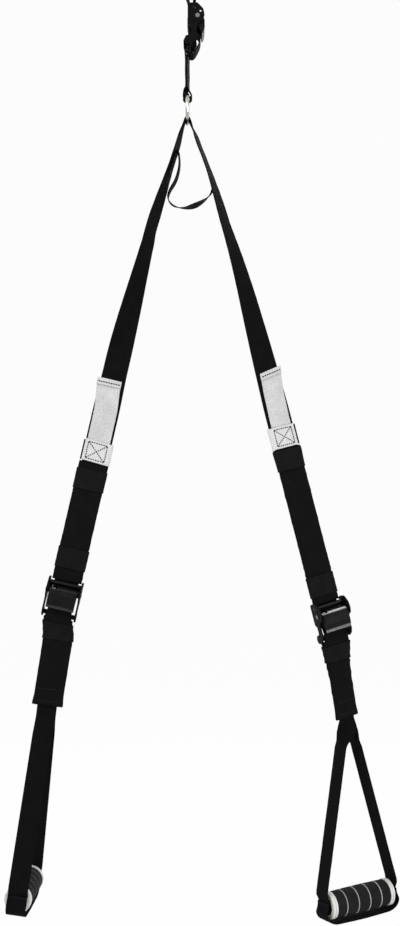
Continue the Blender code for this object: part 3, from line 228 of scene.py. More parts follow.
KEEPER_LIP_SHARE = 0.06
KEEPER_LOW_RIB = 0.0004
KEEPER_LOW_LIP_SHARE = 0.07
ELASTIC_LIP = 0.0004
BAR_BEND = (-0.014, 0.010)
FOOT_FLARE = 0.0012
FLARE_LENGTH = 0.020
LOW_HEM = 0.0075
FOOT_SEAMS = (0.002, 0.0045, 0.0115, 0.014)
FOAM_SIDES = 56
FOAM_ROUND = 0.0011
FOAM_ROUND_LENGTH = 0.0016
FOAM_SQUEEZE = 0.0006
FOAM_SQUEEZE_LENGTH = 0.0009
FOAM_RING_STEPS = (0.00088, 0.00092, 0.00125, 0.0020, 0.0032)
FOAM_END_STEPS = (0.0002, 0.0006, 0.0011, 0.0017)
FOAM_DENT = 0.00022
FOAM_DENT_SIZE = 0.011
FRAME_BEVEL = 0.0003
FINE_BEVEL = 0.0002
FINE_STITCH = {"length": 0.0022, "gap": 0.0005}
FINEST_STITCH = {"length": 0.0022, "gap": 0.0004}
HEM_STITCH = {"length": 0.0040, "gap": 0.0002, "radius": 0.0009}
PATCH_STITCH = {"length": 0.0036, "gap": 0.0003, "radius": 0.0008}

# Values of the two legs, (left, right): lengths in metres, angles in degrees
LEG_VALUES = {
    "name": ("left", "right"),
    "side": (-1, 1),
    # The next two: greys of the painted highlight on the lever's upper edge and of the painted reflection on
    # its lip
    "painted_highlight": (0.03, 0.62),
    "lip": (0.045, 0.24),
    "tab_width": (0.0392, 0.0368),
    "tab_foot_width": (0.0375, 0.0345),
    "tab_slant": (0.0, -0.16),
    "patch_slant": (0.05, 0.0),
    "patch_width": (PATCH_WIDTH, PATCH_WIDTH - PATCH_SHORT),
    "lean": (13.0, 14.45),
    "yaw": (0.0, 24.0),
    "knee_out": (0.0568, 0.0617),
    "line_out": (0.0622, 0.0668),
    "ring_turn": (82.5, 77.5),
    "yoke_bow": (0.0, 0.0038),
    "split_share": (0.40, 0.50),
    "knee_turn": (67.0, 66.0),
    "untwist_power": (1.45, 1.10),
    "bow": (0.0030, 0.0),
    "tab": (0.2676, 0.2531),
    "patch": (0.3706, 0.3470),
    "keeper_top": (0.4187, 0.3856),
    "keeper_mid": (0.5515, 0.5996),
    "buckle": (0.6027, 0.6421),
    "cover_low": (0.1506, 0.1360),
    "low_shift": (0.004, 0.0),
    "low_lean": (9.1, 9.2),
    "low_yaw": (11.0, 42.0),
    "handle_lean": (7.1, 3.5),
    "handle_drop": (0.3048, 0.3000),
    "grip_yaw": (87.0, 28.5),
}
LEFT, RIGHT = ({key: pair[index] for key, pair in LEG_VALUES.items()} for index in (0, 1))

# The anchor strap's tail, as shares of its length (down) and of its reach (to the front)
TAIL_SHARES = [
    (0.12, 0.12), (0.28, 0.66), (0.41, 1.14), (0.53, 1.14), (0.65, 0.96),
    (0.77, 0.70), (0.86, 0.40), (0.875, 0.15), (0.83, -0.04),
]
TAIL_HEM_SHARES = (0.77, 0.70)
# Limiter loop: across and down from the ring's foot, as shares of its span, and its turn, 90 where edge-on
LIMITER_ROUTE_SHARES = [
    (-0.165, 0.860, 84.0), (-0.236, 1.156, 82.0), (-0.370, 1.400, 84.0),
    (-0.395, 1.560, 88.0), (-0.278, 1.690, 86.0), (-0.073, 1.732, 72.0),
    (0.134, 1.690, 56.0), (0.319, 1.588, 68.0), (0.455, 1.470, 86.0),
]
# Where its ends lie on the V, as shares of the way to the knee, and how far the fold beside one stands off
LEFT_SEAM_SHARES = (0.50, 0.45, 0.40, 0.35, 0.31)
RIGHT_SEAM_SHARES = (0.66, 0.72, 0.77, 0.82, 0.88)
FOLD_SHARES = ((0.276, 0.0013), (0.290, 0.0032))
# Wrinkles of the sleeves: place, height, width, and slope across, the upper ones up from the sleeve's foot
WRINKLES = {
    "left": [
        (0.012, 0.0009, 0.0030, 0.10), (0.060, 0.0006, 0.0035, -0.06), (0.071, 0.0004, 0.0025, 0.05),
        (0.094, 0.0005, 0.0040, 0.08), (0.122, 0.0004, 0.0030, -0.05), (0.150, 0.0006, 0.0035, 0.10),
    ],
    "right": [
        (0.052, 0.0009, 0.0032, -0.08), (0.063, 0.0008, 0.0028, 0.04), (0.074, 0.0005, 0.0030, -0.05),
        (0.104, 0.0005, 0.0040, -0.09), (0.140, 0.0004, 0.0030, 0.07), (0.186, 0.0006, 0.0035, -0.04),
        (0.214, 0.0005, 0.0030, 0.06),
    ],
}
LOW_WRINKLES = {
    "left": [(0.046, 0.0007, 0.003, 0.1), (0.060, 0.0005, 0.003, -0.1), (0.095, 0.0004, 0.004, 0.12)],
    "right": [(0.048, 0.0008, 0.003, -0.1), (0.064, 0.0005, 0.004, 0.1), (0.088, 0.0004, 0.004, -0.12)],
}

X_AXIS = Vector((1, 0, 0))
Y_AXIS = Vector((0, 1, 0))
Z_AXIS = Vector((0, 0, 1))
RING_FOOT = Vector((0, 0, -RING_DROP - RING_RADIUS))

# Columns across a strap, and round one side of a sleeve
STRAP_COLUMNS = (-1.0, -0.965, -0.86, -0.66, -0.44, -0.22, 0.0, 0.22, 0.44, 0.66, 0.86, 0.965, 1.0)
SLEEVE_COLUMNS = (-1.0, -0.985, -0.93, -0.82, -0.68, -0.52, -0.35, -0.17)
STEP = 0.0035


def ease(share):
    """A smooth run from 0 to 1."""
    share = min(max(share, 0.0), 1.0)
    return share * share * (3 - 2 * share)


def mix(low, high, share):
    return low + (high - low) * share


def bell(place, middle, width):
    return math.exp(-(((place - middle) / width) ** 2))


def steps_between(low, high, step=STEP):
    count = max(2, math.ceil(abs(high - low) / step))
    return [mix(low, high, index / count) for index in range(count + 1)]


def ripple(point, scale, seed=0.0):
    """Smooth noise from -1 to 1 with bumps of about the given size in metres."""
    return noise.noise(point / scale + Vector((seed, seed * 0.37, -seed)))


def angles(first_deg, last_deg, count):
    return [math.radians(mix(first_deg, last_deg, index / count)) for index in range(count + 1)]


# Places along the straps


def turned_axes(across, turn_deg):
    turn = math.radians(turn_deg)
    width = across * math.cos(turn) + Y_AXIS * math.sin(turn)
    back = Y_AXIS * math.cos(turn) - across * math.sin(turn)
    return width, back


def down_and_across(side, lean_deg):
    lean = math.radians(lean_deg)
    down = Vector((side * math.sin(lean), 0, -math.cos(lean)))
    across = Vector((math.cos(lean), 0, side * math.sin(lean)))
    return down, across


def flat_row(middle, half):
    return lambda share: middle + half * share


def wire_rise(y):
    slant = math.asin(max(min(y / RING_RADIUS, 1), -1))
    return RING_RADIUS * (1 - math.cos(slant)), 1 / math.cos(slant)


def ring_bow(angle, width_radius, height_radius, upright, wire_z):
    """A row on the webbing's round over the ring, with the ring's own curve across it."""

    def row(share):
        y = RING_BUNCH_WIDTH / 2 * share
        rise, slant = wire_rise(y)
        z = wire_z + upright * (rise + height_radius * slant * math.sin(angle))
        return Vector((width_radius * math.cos(angle), y, z))

    return row


def knee_point(leg):
    return Vector((leg["side"] * leg["knee_out"], 0, -KNEE_DROP))


def yoke_leg(leg):
    reach = knee_point(leg) - RING_FOOT
    slope = math.atan2(abs(reach.x), -reach.z)
    lean = slope - math.asin(RING_WRAP / reach.length)
    side = leg["side"]
    start = RING_FOOT + Vector((side * math.cos(lean), 0, math.sin(lean))) * RING_WRAP
    down, across = down_and_across(side, math.degrees(lean))
    return start, lean, down, across


def yoke_middle(leg, share):
    bow = X_AXIS * (leg["side"] * leg["yoke_bow"] * math.sin(math.pi * share))
    return yoke_leg(leg)[0].lerp(knee_point(leg), share) + bow


def yoke_turn(leg, share):
    """How far the webbing is turned from facing the viewer, from its edge at the ring to the knee."""
    length = (knee_point(leg) - yoke_leg(leg)[0]).length * share
    held = mix(90.0, leg["ring_turn"], ease(length / RING_UNTWIST_LENGTH))
    return mix(held, leg["knee_turn"], ease((share - RING_UNTWIST_SHARE) / (1 - RING_UNTWIST_SHARE)))


def yoke_row(leg, share):
    """A row on the V, bunched and cupped where it leaves the ring."""
    start, _, _, across = yoke_leg(leg)
    middle = yoke_middle(leg, share)
    spread = ease((knee_point(leg) - start).length * share / BUNCH_LENGTH)
    half_width = mix(RING_BUNCH_WIDTH, WEBBING_WIDTH, spread) / 2
    width, _ = turned_axes(across, yoke_turn(leg, share))

    def row(column):
        rise, _ = wire_rise(half_width * column)
        return middle + width * (half_width * column) + Z_AXIS * (rise * (1 - spread))

    return row


def leg_axes(leg):
    down, across = down_and_across(leg["side"], leg["lean"])
    knee = Vector((leg["side"] * leg["line_out"], 0, -KNEE_DROP))
    return knee, down, across


def leg_turn(leg, s):
    yaw = leg["yaw"]
    patch_yaw = yaw * PATCH_YAW_SHARE
    if s < UNTWIST_LENGTH:
        return mix(leg["knee_turn"], patch_yaw, (max(s, 0) / UNTWIST_LENGTH) ** leg["untwist_power"])
    patch_end = leg["patch"] + PATCH_HEIGHT
    return mix(patch_yaw, yaw, ease((s - patch_end) / SETTLED_LENGTH))


def leg_place(leg, x, d, s):
    knee, down, across = leg_axes(leg)
    if s < KNEE_EASE:
        across = yoke_leg(leg)[3].lerp(across, ease(s / KNEE_EASE)).normalized()
    width, back = turned_axes(across, leg_turn(leg, s))
    drift = (leg["line_out"] - leg["knee_out"]) * max(1 - s / KNEE_EASE, 0) ** 2
    drift += leg["bow"] * bell(s, LEG_BOW_PLACE, LEG_BOW_LENGTH) * ease(s / SETTLED_LENGTH)
    return knee + down * s - X_AXIS * (leg["side"] * drift) + width * x - back * d


def leg_row(leg, d, s, half_width=WEBBING_WIDTH / 2):
    return lambda share: leg_place(leg, half_width * share, d, s)


def bar_place(leg):
    return leg["buckle"] + END_BAR_DROP


def low_turn(leg, drop):
    return mix(leg["yaw"], leg["low_yaw"], min(max(drop / LOW_TWIST_LENGTH, 0), 1))


def low_place(leg, x, d, drop):
    shift = leg["low_shift"] * ease((drop - BUCKLE_LENGTH + END_BAR_DROP) / CONVERGE_LENGTH)
    on_leg = leg_place(leg, x + shift, d, bar_place(leg) + drop)
    bar = leg_place(leg, shift, -END_BAR_BACK, bar_place(leg))
    down, across = down_and_across(leg["side"], leg["low_lean"])
    width, back = turned_axes(across, low_turn(leg, drop))
    on_low = bar + down * drop + width * x - back * (d + END_BAR_BACK)
    return on_leg.lerp(on_low, ease(drop / BEND_LENGTH))


def low_row(leg, d, drop, half_width=WEBBING_WIDTH / 2):
    return lambda share: low_place(leg, half_width * share, d, drop)


def loop_front(drop):
    return mix(BAR_WRAP, LAYER / 2, ease(drop / CONVERGE_LENGTH)) - END_BAR_BACK


def handle_axes(leg):
    fork = low_place(leg, 0, -END_BAR_BACK, leg["cover_low"])
    down, across = down_and_across(leg["side"], leg["handle_lean"])
    grip, behind = turned_axes(across, leg["grip_yaw"])
    return fork, fork + down * leg["handle_drop"], grip, behind, down, across


def branch_spread(leg, drop):
    straight = leg["handle_drop"] - BRANCH_STRAIGHT
    widest = BRANCH_STAND + BRANCH_BULGE
    if drop > straight:
        return mix(widest, BRANCH_STAND, ease((drop - straight) / (BRANCH_STRAIGHT - BRANCH_SEAM_TOP)))
    share = (drop + BRANCH_CROSSING_RISE) / (straight + BRANCH_CROSSING_RISE)
    return widest * share * ease((drop - BRANCH_OPEN_START) / BRANCH_OPEN_LENGTH)


def branch_row(leg, end, layer, drop):
    fork, _, grip, _, down, across = handle_axes(leg)
    twisted = ease(drop / BRANCH_TWIST_LENGTH)
    width, back = turned_axes(across, mix(leg["low_yaw"], leg["grip_yaw"] + BRANCH_TURN, twisted))
    spread = grip * (end * branch_spread(leg, drop))
    apart = back * (-layer * LAYER / 2 * (1 - ease(drop / BRANCH_PARTING_LENGTH)))
    return flat_row(fork + down * drop + spread + apart, width * (HANDLE_WIDTH / 2))


def slide_ends(leg):
    """The stretch of the upper sleeve that takes up the buckle's slide."""
    return leg_place(leg, 0, 0, leg["keeper_top"] + KEEPER_HEIGHT), leg_place(leg, 0, 0, leg["keeper_mid"])


# Meshes


def smooth_rows(rows, step=STEP):
    """Rows of a smooth curve through the given rows, about a step apart."""
    middles = [row(0) for row in rows]
    places = [0.0]
    for before, after in zip(middles, middles[1:]):
        places.append(places[-1] + max((after - before).length, 1e-5))

    def slope(index, share):
        low = max(index - 1, 0)
        high = min(index + 1, len(rows) - 1)
        return (rows[high](share) - rows[low](share)) / (places[high] - places[low])

    def between(index, part):
        span = places[index + 1] - places[index]
        a = 2 * part**3 - 3 * part**2 + 1
        b = part**3 - 2 * part**2 + part
        c = 3 * part**2 - 2 * part**3
        e = part**3 - part**2

        def row(share):
            point = rows[index](share) * a + rows[index + 1](share) * c
            return point + slope(index, share) * (b * span) + slope(index + 1, share) * (e * span)

        return row

    out = []
    for index in range(len(rows) - 1):
        count = max(1, math.ceil((places[index + 1] - places[index]) / step))
        out += [between(index, part / count) for part in range(count)]
    out.append(rows[-1])
    return out


def grid_normals(grid, closed):
    count = len(grid)
    normals = []
    for index, points in enumerate(grid):
        before = grid[index - 1] if closed else grid[max(index - 1, 0)]
        after = grid[(index + 1) % count] if closed else grid[min(index + 1, count - 1)]
        line = []
        for column in range(len(points)):
            along = after[column] - before[column]
            across = points[min(column + 1, len(points) - 1)] - points[max(column - 1, 0)]
            line.append(along.cross(across).normalized())
        normals.append(line)
    return normals


def lengths_along(grid):
    middle = len(grid[0]) // 2
    out = [0.0]
    for before, after in zip(grid, grid[1:]):
        out.append(out[-1] + (after[middle] - before[middle]).length)
    return out


def mesh_piece(name, points, faces, uvs, material):
    """A mesh with a UV map in metres: uvs gives a list of (across, along) for each face."""
    mesh = bpy.data.meshes.new(name)
    mesh.from_pydata(points, [], faces)
    layer = mesh.uv_layers.new(name="weave")
    for face, corners in zip(mesh.polygons, uvs):
        for loop, uv in zip(face.loop_indices, corners):
            layer.data[loop].uv = uv
        face.use_smooth = True
    mesh.materials.append(material)
    piece = bpy.data.objects.new(name, mesh)
    bpy.context.scene.collection.objects.link(piece)
    return piece


def loft(name, material, grid, around, along, closed=False, capped=False, inward=False):
    """A skin over closed rows of points, with the lengths around and along it as its UV map."""
    size = len(grid[0])
    faces = []
    uvs = []
    for index in range(len(grid) if closed else len(grid) - 1):
        low = index * size
        high = (index + 1) % len(grid) * size
        start, end = along[index], along[index + 1]
        for column in range(size):
            following = (column + 1) % size
            near, far = around[column], around[column + 1]
            corners = [low + column, low + following, high + following, high + column]
            places = [(near, start), (far, start), (far, end), (near, end)]
            if inward:
                corners = corners[:1] + corners[:0:-1]
                places = places[:1] + places[:0:-1]
            faces.append(corners)
            uvs.append(places)
    if capped:
        for first, order in ((0, range(size - 1, -1, -1)), ((len(grid) - 1) * size, range(size))):
            faces.append([first + column for column in order])
            uvs.append([(around[column], 0.0) for column in order])
    return mesh_piece(name, [point for row in grid for point in row], faces, uvs, material)


def band(name, material, rows, thickness=WEBBING, closed=False, wave=0.00012):
    """Flat webbing through rows, with rounded selvages and a slight natural waviness."""
    grid = [[row(column) for column in STRAP_COLUMNS] for row in rows]
    along = lengths_along(grid)
    half_width = (grid[0][-1] - grid[0][0]).length / 2
    skin = []
    for line, directions in zip(grid, grid_normals(grid, closed)):
        front = []
        back = []
        for column, (point, normal) in enumerate(zip(line, directions)):
            half = thickness / 2 * (SELVAGE_SHARE if column in (0, len(line) - 1) else 1.0)
            moved = point + normal * (wave * ripple(point, RIPPLE_SIZE))
            front.append(moved + normal * half)
            back.append(moved - normal * half)
        edge = (line[-1] - line[-2]).normalized() * (thickness * SELVAGE_ROUND)
        other = (line[0] - line[1]).normalized() * (thickness * SELVAGE_ROUND)
        skin.append(front + [line[-1] + edge] + back[::-1] + [line[0] + other])
    across = [column * half_width for column in STRAP_COLUMNS]
    around = across + [half_width] + across[::-1] + [-half_width] + across[:1]
    return loft(name, material, skin, around, along + [along[-1] + STEP], closed, not closed)


def sleeve_section():
    """Places round a flattened sleeve: share across and share of the depth, once round."""
    half = list(SLEEVE_COLUMNS) + [0.0] + [-column for column in reversed(SLEEVE_COLUMNS)]
    front = [(column, math.sqrt(max(1 - abs(column) ** 10, 0))) for column in half]
    return front + [(column, -depth) for column, depth in front[-2:0:-1]]


def sleeve(name, material, rings):
    """A flattened tube of cloth: a ring is a function of the share across and the share of its depth."""
    section = sleeve_section()
    grid = [[ring(x, depth) for x, depth in section] for ring in rings]
    around = [0.0]
    for point, following in zip(grid[0], grid[0][1:] + grid[0][:1]):
        around.append(around[-1] + (following - point).length)
    piece = loft(name, material, grid, around, lengths_along(grid), inward=True)
    solidify = piece.modifiers.new("wall", "SOLIDIFY")
    solidify.thickness = CLOTH
    solidify.offset = -1
    return piece


def revolved(name, material, matrix, profile, sides):
    """A turned piece about its own X axis: the profile is a closed list of (radius, place)."""
    grid = []
    for angle in angles(0, 360, sides)[:-1]:
        sine, cosine = math.sin(angle), math.cos(angle)
        grid.append([matrix @ Vector((place, radius * sine, radius * cosine)) for radius, place in profile])
    return loft(name, material, grid, [0.0] * (len(profile) + 1), [0.0] * (sides + 1), closed=True)


def stitches(name, material, lines, length=0.0030, gap=0.0008, radius=0.00042):
    """Sewn thread: each line is a list of (point on the cloth, direction out of it), sewn end to end."""
    points = []
    faces = []
    for line in lines:
        places = [0.0]
        for (before, _), (after, _) in zip(line, line[1:]):
            places.append(places[-1] + (after - before).length)

        def at(place, line=line, places=places):
            for index in range(len(line) - 1):
                if place <= places[index + 1] or index == len(line) - 2:
                    part = (place - places[index]) / max(places[index + 1] - places[index], 1e-9)
                    return line[index][0].lerp(line[index + 1][0], part), line[index][1]

        count = max(1, round(places[-1] / (length + gap)))
        pitch = places[-1] / count
        for index in range(count):
            start, out = at(pitch * index + gap / 2)
            end, _ = at(pitch * (index + 1) - gap / 2)
            side = (end - start).normalized().cross(out).normalized() * radius
            first = len(points)
            points.append(start - out * radius * 0.5)
            for share, height in ((0.22, 0.85), (0.5, 1.0), (0.78, 0.85)):
                middle = start.lerp(end, share) + out * (radius * 0.35)
                lift = out * (radius * height)
                points += [middle + side, middle + lift, middle - side, middle - lift]
            points.append(end - out * radius * 0.5)
            tip = first + 13
            for column in range(4):
                following = (column + 1) % 4
                faces.append((first, first + 1 + following, first + 1 + column))
                for low in (first + 1, first + 5):
                    faces.append((low + column, low + following, low + following + 4, low + column + 4))
                faces.append((tip, first + 9 + column, first + 9 + following))
    return mesh_piece(name, points, faces, [[(0.0, 0.0)] * len(face) for face in faces], material)


def attach(piece, slot, body, *nodes):
    """Hides the nodes that a piece stands for, and parents the piece to its body when one is given; its slot
    is not used.
    """
    if nodes:
        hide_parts(*nodes)
    if body:
        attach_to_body(piece, body)
    return piece


# Materials


class Look:
    """A material's nodes, built a step at a time."""

    def __init__(self, name, metallic=0.0, specular=0.5):
        self.material = bpy.data.materials.new(name)
        self.material.use_nodes = True
        self.tree = self.material.node_tree
        self.shader = self.tree.nodes["Principled BSDF"]
        self.shader.inputs["Metallic"].default_value = metallic
        self.shader.inputs["Specular IOR Level"].default_value = specular
        self.normal = None
        self.place = self.add("TexCoord").outputs["Object"]
        weave = self.add("UVMap")
        weave.uv_map = "weave"
        self.across, self.along = self.add("SeparateXYZ", weave.outputs[0]).outputs[:2]

    def add(self, kind, *values, operation=None):
        node = self.tree.nodes.new("ShaderNode" + kind)
        if operation:
            node.operation = operation
        for socket, value in zip(node.inputs, values):
            self.feed(socket, value)
        return node

    def feed(self, socket, value):
        if isinstance(value, (int, float, tuple)):
            socket.default_value = value
        else:
            self.tree.links.new(value, socket)

    def calc(self, operation, *values):
        return self.add("Math", *values, operation=operation).outputs[0]

    def times(self, *values):
        return self.calc("MULTIPLY", *values)

    def wave(self, value, factor):
        """Rounded ridges, one for each half turn of the value."""
        return self.calc("ABSOLUTE", self.calc("SINE", self.times(value, factor)))

    def dot(self, direction, origin):
        """How far a point lies along a direction from an origin."""
        node = self.add("VectorMath", self.place, tuple(direction), operation="DOT_PRODUCT")
        return self.calc("SUBTRACT", node.outputs["Value"], direction.dot(origin))

    def speckle(self, size, detail=3.0):
        node = self.add("TexNoise", self.place)
        node.inputs["Scale"].default_value = 1 / size
        node.inputs["Detail"].default_value = detail
        node.inputs["Roughness"].default_value = 0.55
        return node.outputs[0]

    def span(self, value, low, high, out_low, out_high):
        """The value's run from low to high, mapped on another and held at its ends."""
        return self.add("MapRange", value, low, high, out_low, out_high).outputs[0]

    def mottle(self, value, low, high):
        """A noise, or one of the size given, as a value that wanders between two others."""
        source = self.speckle(value) if isinstance(value, float) else value
        return self.span(source, 0.3, 0.7, low, high)

    def blend(self, share, low, high):
        node = self.add("Mix")
        node.data_type = "RGBA"
        self.feed(node.inputs["Factor"], share)
        for socket, value in ((node.inputs[6], low), (node.inputs[7], high)):
            self.feed(socket, (*value, 1.0) if isinstance(value, tuple) else value)
        return node.outputs[2]

    def bump(self, height, distance, strength=1.0):
        node = self.add("Bump")
        node.inputs["Strength"].default_value = strength
        node.inputs["Distance"].default_value = distance
        self.feed(node.inputs["Height"], height)
        if self.normal is not None:
            self.feed(node.inputs["Normal"], self.normal)
        self.normal = node.outputs[0]

    def finish(self, colour, roughness):
        self.feed(self.shader.inputs["Base Color"], colour)
        self.feed(self.shader.inputs["Roughness"], roughness)
        if self.normal is not None:
            self.feed(self.shader.inputs["Normal"], self.normal)
        return self.material


def woven(name, dark, light, across_pitch, along_pitch, relief, roughness=0.88, half_width=None):
    """Webbing or cloth: crossed yarns, each lengthwise one offset by half a pick from its neighbour."""
    look = Look(name, specular=0.05)
    warp = look.calc("DIVIDE", look.across, across_pitch)
    offset = look.times(look.calc("FLOORED_MODULO", look.calc("FLOOR", warp), 2.0), 0.5)
    pick = look.calc("ADD", look.calc("DIVIDE", look.along, along_pitch), offset)
    yarn = look.wave(warp, math.pi)
    over = look.wave(pick, math.pi)
    height = look.times(look.calc("POWER", over, 0.6), look.calc("MULTIPLY_ADD", yarn, 0.6, 0.4))
    fuzz = look.speckle(0.0006, 2.0)
    look.bump(height, relief)
    look.bump(fuzz, relief * 0.5, 0.5)
    share = look.times(look.calc("MULTIPLY_ADD", height, 0.75, 0.1), look.mottle(0.02, 0.65, 1.15))
    if half_width:
        edge = look.span(look.calc("ABSOLUTE", look.across), half_width * 0.93, half_width, 0.0, 0.35)
        share = look.calc("ADD", share, edge)
    lint = look.span(look.speckle(0.0011, 1.0), 0.74, 0.80, 0.0, 0.5)
    share = look.calc("MINIMUM", look.calc("ADD", share, lint), 1.0)
    return look.finish(look.blend(share, dark, light), look.mottle(fuzz, roughness - 0.06, roughness + 0.06))


def ribbed_elastic(name, dark, light, rib_pitch, relief):
    """Knitted elastic: fine ribs along its length, crossed by faint rubber lines."""
    look = Look(name, specular=0.09)
    rib = look.wave(look.along, math.pi / rib_pitch)
    line = look.wave(look.across, math.pi / 0.0011)
    height = look.calc("ADD", look.times(rib, 0.75), look.times(line, 0.25))
    look.bump(height, relief)
    look.bump(look.speckle(0.0008, 2.0), relief * 0.5, 0.5)
    return look.finish(look.blend(look.times(height, look.mottle(0.015, 0.5, 1.1)), dark, light), 0.82)


def coated_metal(name, base, wear_and_sheen, roughness):
    """Powder-coated metal with fine orange peel, and its paint thinned by wear on its edges."""
    look = Look(name, specular=0.05)
    peel = look.speckle(0.0007, 2.0)
    look.bump(peel, 0.00005, 0.6)
    eased = look.add("Bevel")
    eased.inputs["Radius"].default_value = 0.0009
    eased.samples = 4
    surface = look.add("NewGeometry").outputs["Normal"]
    across = look.add("VectorMath", eased.outputs[0], surface, operation="DOT_PRODUCT")
    edge = look.span(across.outputs["Value"], 0.995, 0.90, 0.0, 1.0)
    rub = look.span(look.speckle(0.004, 4.0), 0.45, 0.62, 0.0, 0.50)
    share = look.calc("ADD", look.times(edge, rub), look.mottle(0.012, 0.0, 0.05))
    colour = look.blend(look.calc("MINIMUM", share, 1.0), base, wear_and_sheen)
    return look.finish(colour, look.mottle(peel, roughness - 0.05, roughness + 0.07))


def lever_finish(name, origin, up, front, painted_highlight, painted_lip_reflection):
    """The lever's dark face, with a painted highlight along its upper edge and a painted reflection on the
    lip at its foot.
    """
    look = Look(name, specular=0.07)
    height = look.dot(up, origin)
    forward = look.dot(front, origin)
    look.bump(look.speckle(0.0009), 0.00004, 0.6)

    def patch(low, high, near, far):
        on_height = look.span(height, LEVER_REACH * low, LEVER_REACH * high, 0.0, 1.0)
        return look.times(on_height, look.span(forward, LEVER_FRONT * near, LEVER_FRONT * far, 0.0, 1.0))

    # Painted highlight: a lighter band along the lever's upper edge. Painted reflection: a lighter band on
    # the lip at its foot. Both are brighter on the right leg's lever, and a noise mask breaks them into
    # patches.
    top = patch(0.03, 0.085, 0.36, 0.46)
    lip = patch(-0.80, -0.85, 0.60, 0.66)
    wear_and_sheen = look.span(look.speckle(0.003, 4.0), 0.30, 0.62, 0.55, 1.0)
    face = look.blend(look.mottle(0.010, 0.0, 1.0), (0.0045, 0.0045, 0.0048), (0.0085, 0.0085, 0.0088))
    colour = look.blend(look.times(lip, wear_and_sheen), face, grey(painted_lip_reflection))
    colour = look.blend(look.times(top, wear_and_sheen), colour, grey(painted_highlight))
    return look.finish(colour, look.span(top, 0.0, 1.0, 0.42, 0.28))


def polished_steel(name, colour, roughness):
    look = Look(name, metallic=1.0)
    fine = look.speckle(0.0015, 4.0)
    look.bump(fine, 0.00002, 0.4)
    shade = look.span(look.speckle(0.006), 0.35, 0.7, 0.0, 1.0)
    tint = look.blend(shade, colour, tuple(part * 0.82 for part in colour))
    return look.finish(tint, look.mottle(fine, roughness - 0.04, roughness + 0.08))


def foam_look(name):
    look = Look(name, specular=0.10)
    cell = look.add("TexVoronoi", look.place)
    cell.inputs["Scale"].default_value = 1 / 0.0011
    pores = look.span(cell.outputs["Distance"], 0.05, 0.45, 0.0, 1.0)
    look.bump(pores, 0.00025, 0.7)
    look.bump(look.speckle(0.006), 0.0004, 0.4)
    share = look.times(pores, look.mottle(0.012, 0.5, 1.0))
    return look.finish(look.blend(share, grey(0.006), grey(0.017, 0.001)), 0.93)


def moulded(name, low, high, roughness, specular=0.5):
    look = Look(name, specular=specular)
    grain = look.speckle(0.0012)
    look.bump(grain, 0.00005, 0.6)
    colour = look.blend(look.mottle(0.009, 0.0, 1.0), low, high)
    return look.finish(colour, look.mottle(grain, roughness - 0.05, roughness + 0.08))


def thread(name, low, high):
    look = Look(name, specular=0.2)
    look.bump(look.speckle(0.0004), 0.0001, 0.6)
    return look.finish(look.blend(look.mottle(0.0009, 0.0, 1.0), low, high), 0.75)


def grey(value, blue=0.0):
    return value, value, value + blue


WEB_DARK = grey(0.0015, 0.0001)
WEB_LIGHT = (0.0082, 0.0080, 0.0082)
WEB = woven("webbing_black", WEB_DARK, WEB_LIGHT, 0.00125, 0.0017, 0.00022, half_width=WEBBING_WIDTH / 2)
THIN_WEB = woven("webbing_thin_black", WEB_DARK, WEB_LIGHT, 0.0011, 0.0013, 0.00018)
CLOTH_LOOK = woven("cover_cloth", grey(0.0024, 0.0002), grey(0.0078, 0.0004), 0.0007, 0.0007, 0.0001, 0.84)
ELASTIC = ribbed_elastic("elastic_black", grey(0.0022, 0.0002), grey(0.0085, 0.0005), 0.0012, 0.00018)
TAB_WEB = woven("webbing_white", grey(0.42, 0.005), grey(0.80), 0.0020, 0.0040, 0.0004, 0.82)
PATCH_WEB = woven("patch_white", grey(0.58), grey(0.76), 0.0009, 0.0011, 0.00014, 0.80)
DARK_THREAD = thread("thread_dark", grey(0.010, 0.001), grey(0.025, 0.002))
GREY_THREAD = thread("thread_grey", grey(0.10, 0.01), grey(0.20, 0.01))
BLACK_THREAD = thread("thread_black", grey(0.010, 0.001), grey(0.028, 0.002))
FRAME_METAL = coated_metal("buckle_black", grey(0.0022, 0.0002), grey(0.045, 0.002), 0.46)
BAR_METAL = moulded("bar_black", grey(0.003), grey(0.006), 0.24, specular=0.16)
STEEL = polished_steel("steel_bright", (0.50, 0.47, 0.44), 0.20)
PIN_METAL = polished_steel("pin_steel", grey(0.20), 0.30)
SPRING = polished_steel("spring_steel", grey(0.50, 0.02), 0.32)
FOAM = foam_look("foam_black")
TUBE = moulded("tube_plastic_black", grey(0.007, 0.001), grey(0.013, 0.001), 0.48)
CAP = moulded("cap_white", grey(0.66, -0.03), grey(0.74, -0.03), 0.42)
# A shaded and a lit copy of the rings' silver: the left grip's darker grey is painted shade for the shade in
# its rings' grooves
SILVER = {
    "left": moulded("ring_silver_painted_shade", grey(0.08, 0.001), grey(0.12, 0.001), 0.6, specular=0.05),
    "right": moulded("ring_silver", grey(0.36, 0.005), grey(0.48, 0.005), 0.6, specular=0.05),
}


# Anchor loop and stub


def upright_row(x, z):
    return flat_row(Vector((x, 0, z)), Y_AXIS * (WEBBING_WIDTH / 2))


def arc(middle_x, middle_z, radius, first_deg, last_deg, count):
    out = []
    for angle in angles(first_deg, last_deg, count):
        out.append((middle_x + radius * math.cos(angle), middle_z + radius * math.sin(angle)))
    return out


def straight(start, end, step=0.006):
    count = max(1, math.ceil(math.dist(start, end) / step))
    return [(mix(start[0], end[0], i / count), mix(start[1], end[1], i / count)) for i in range(1, count)]


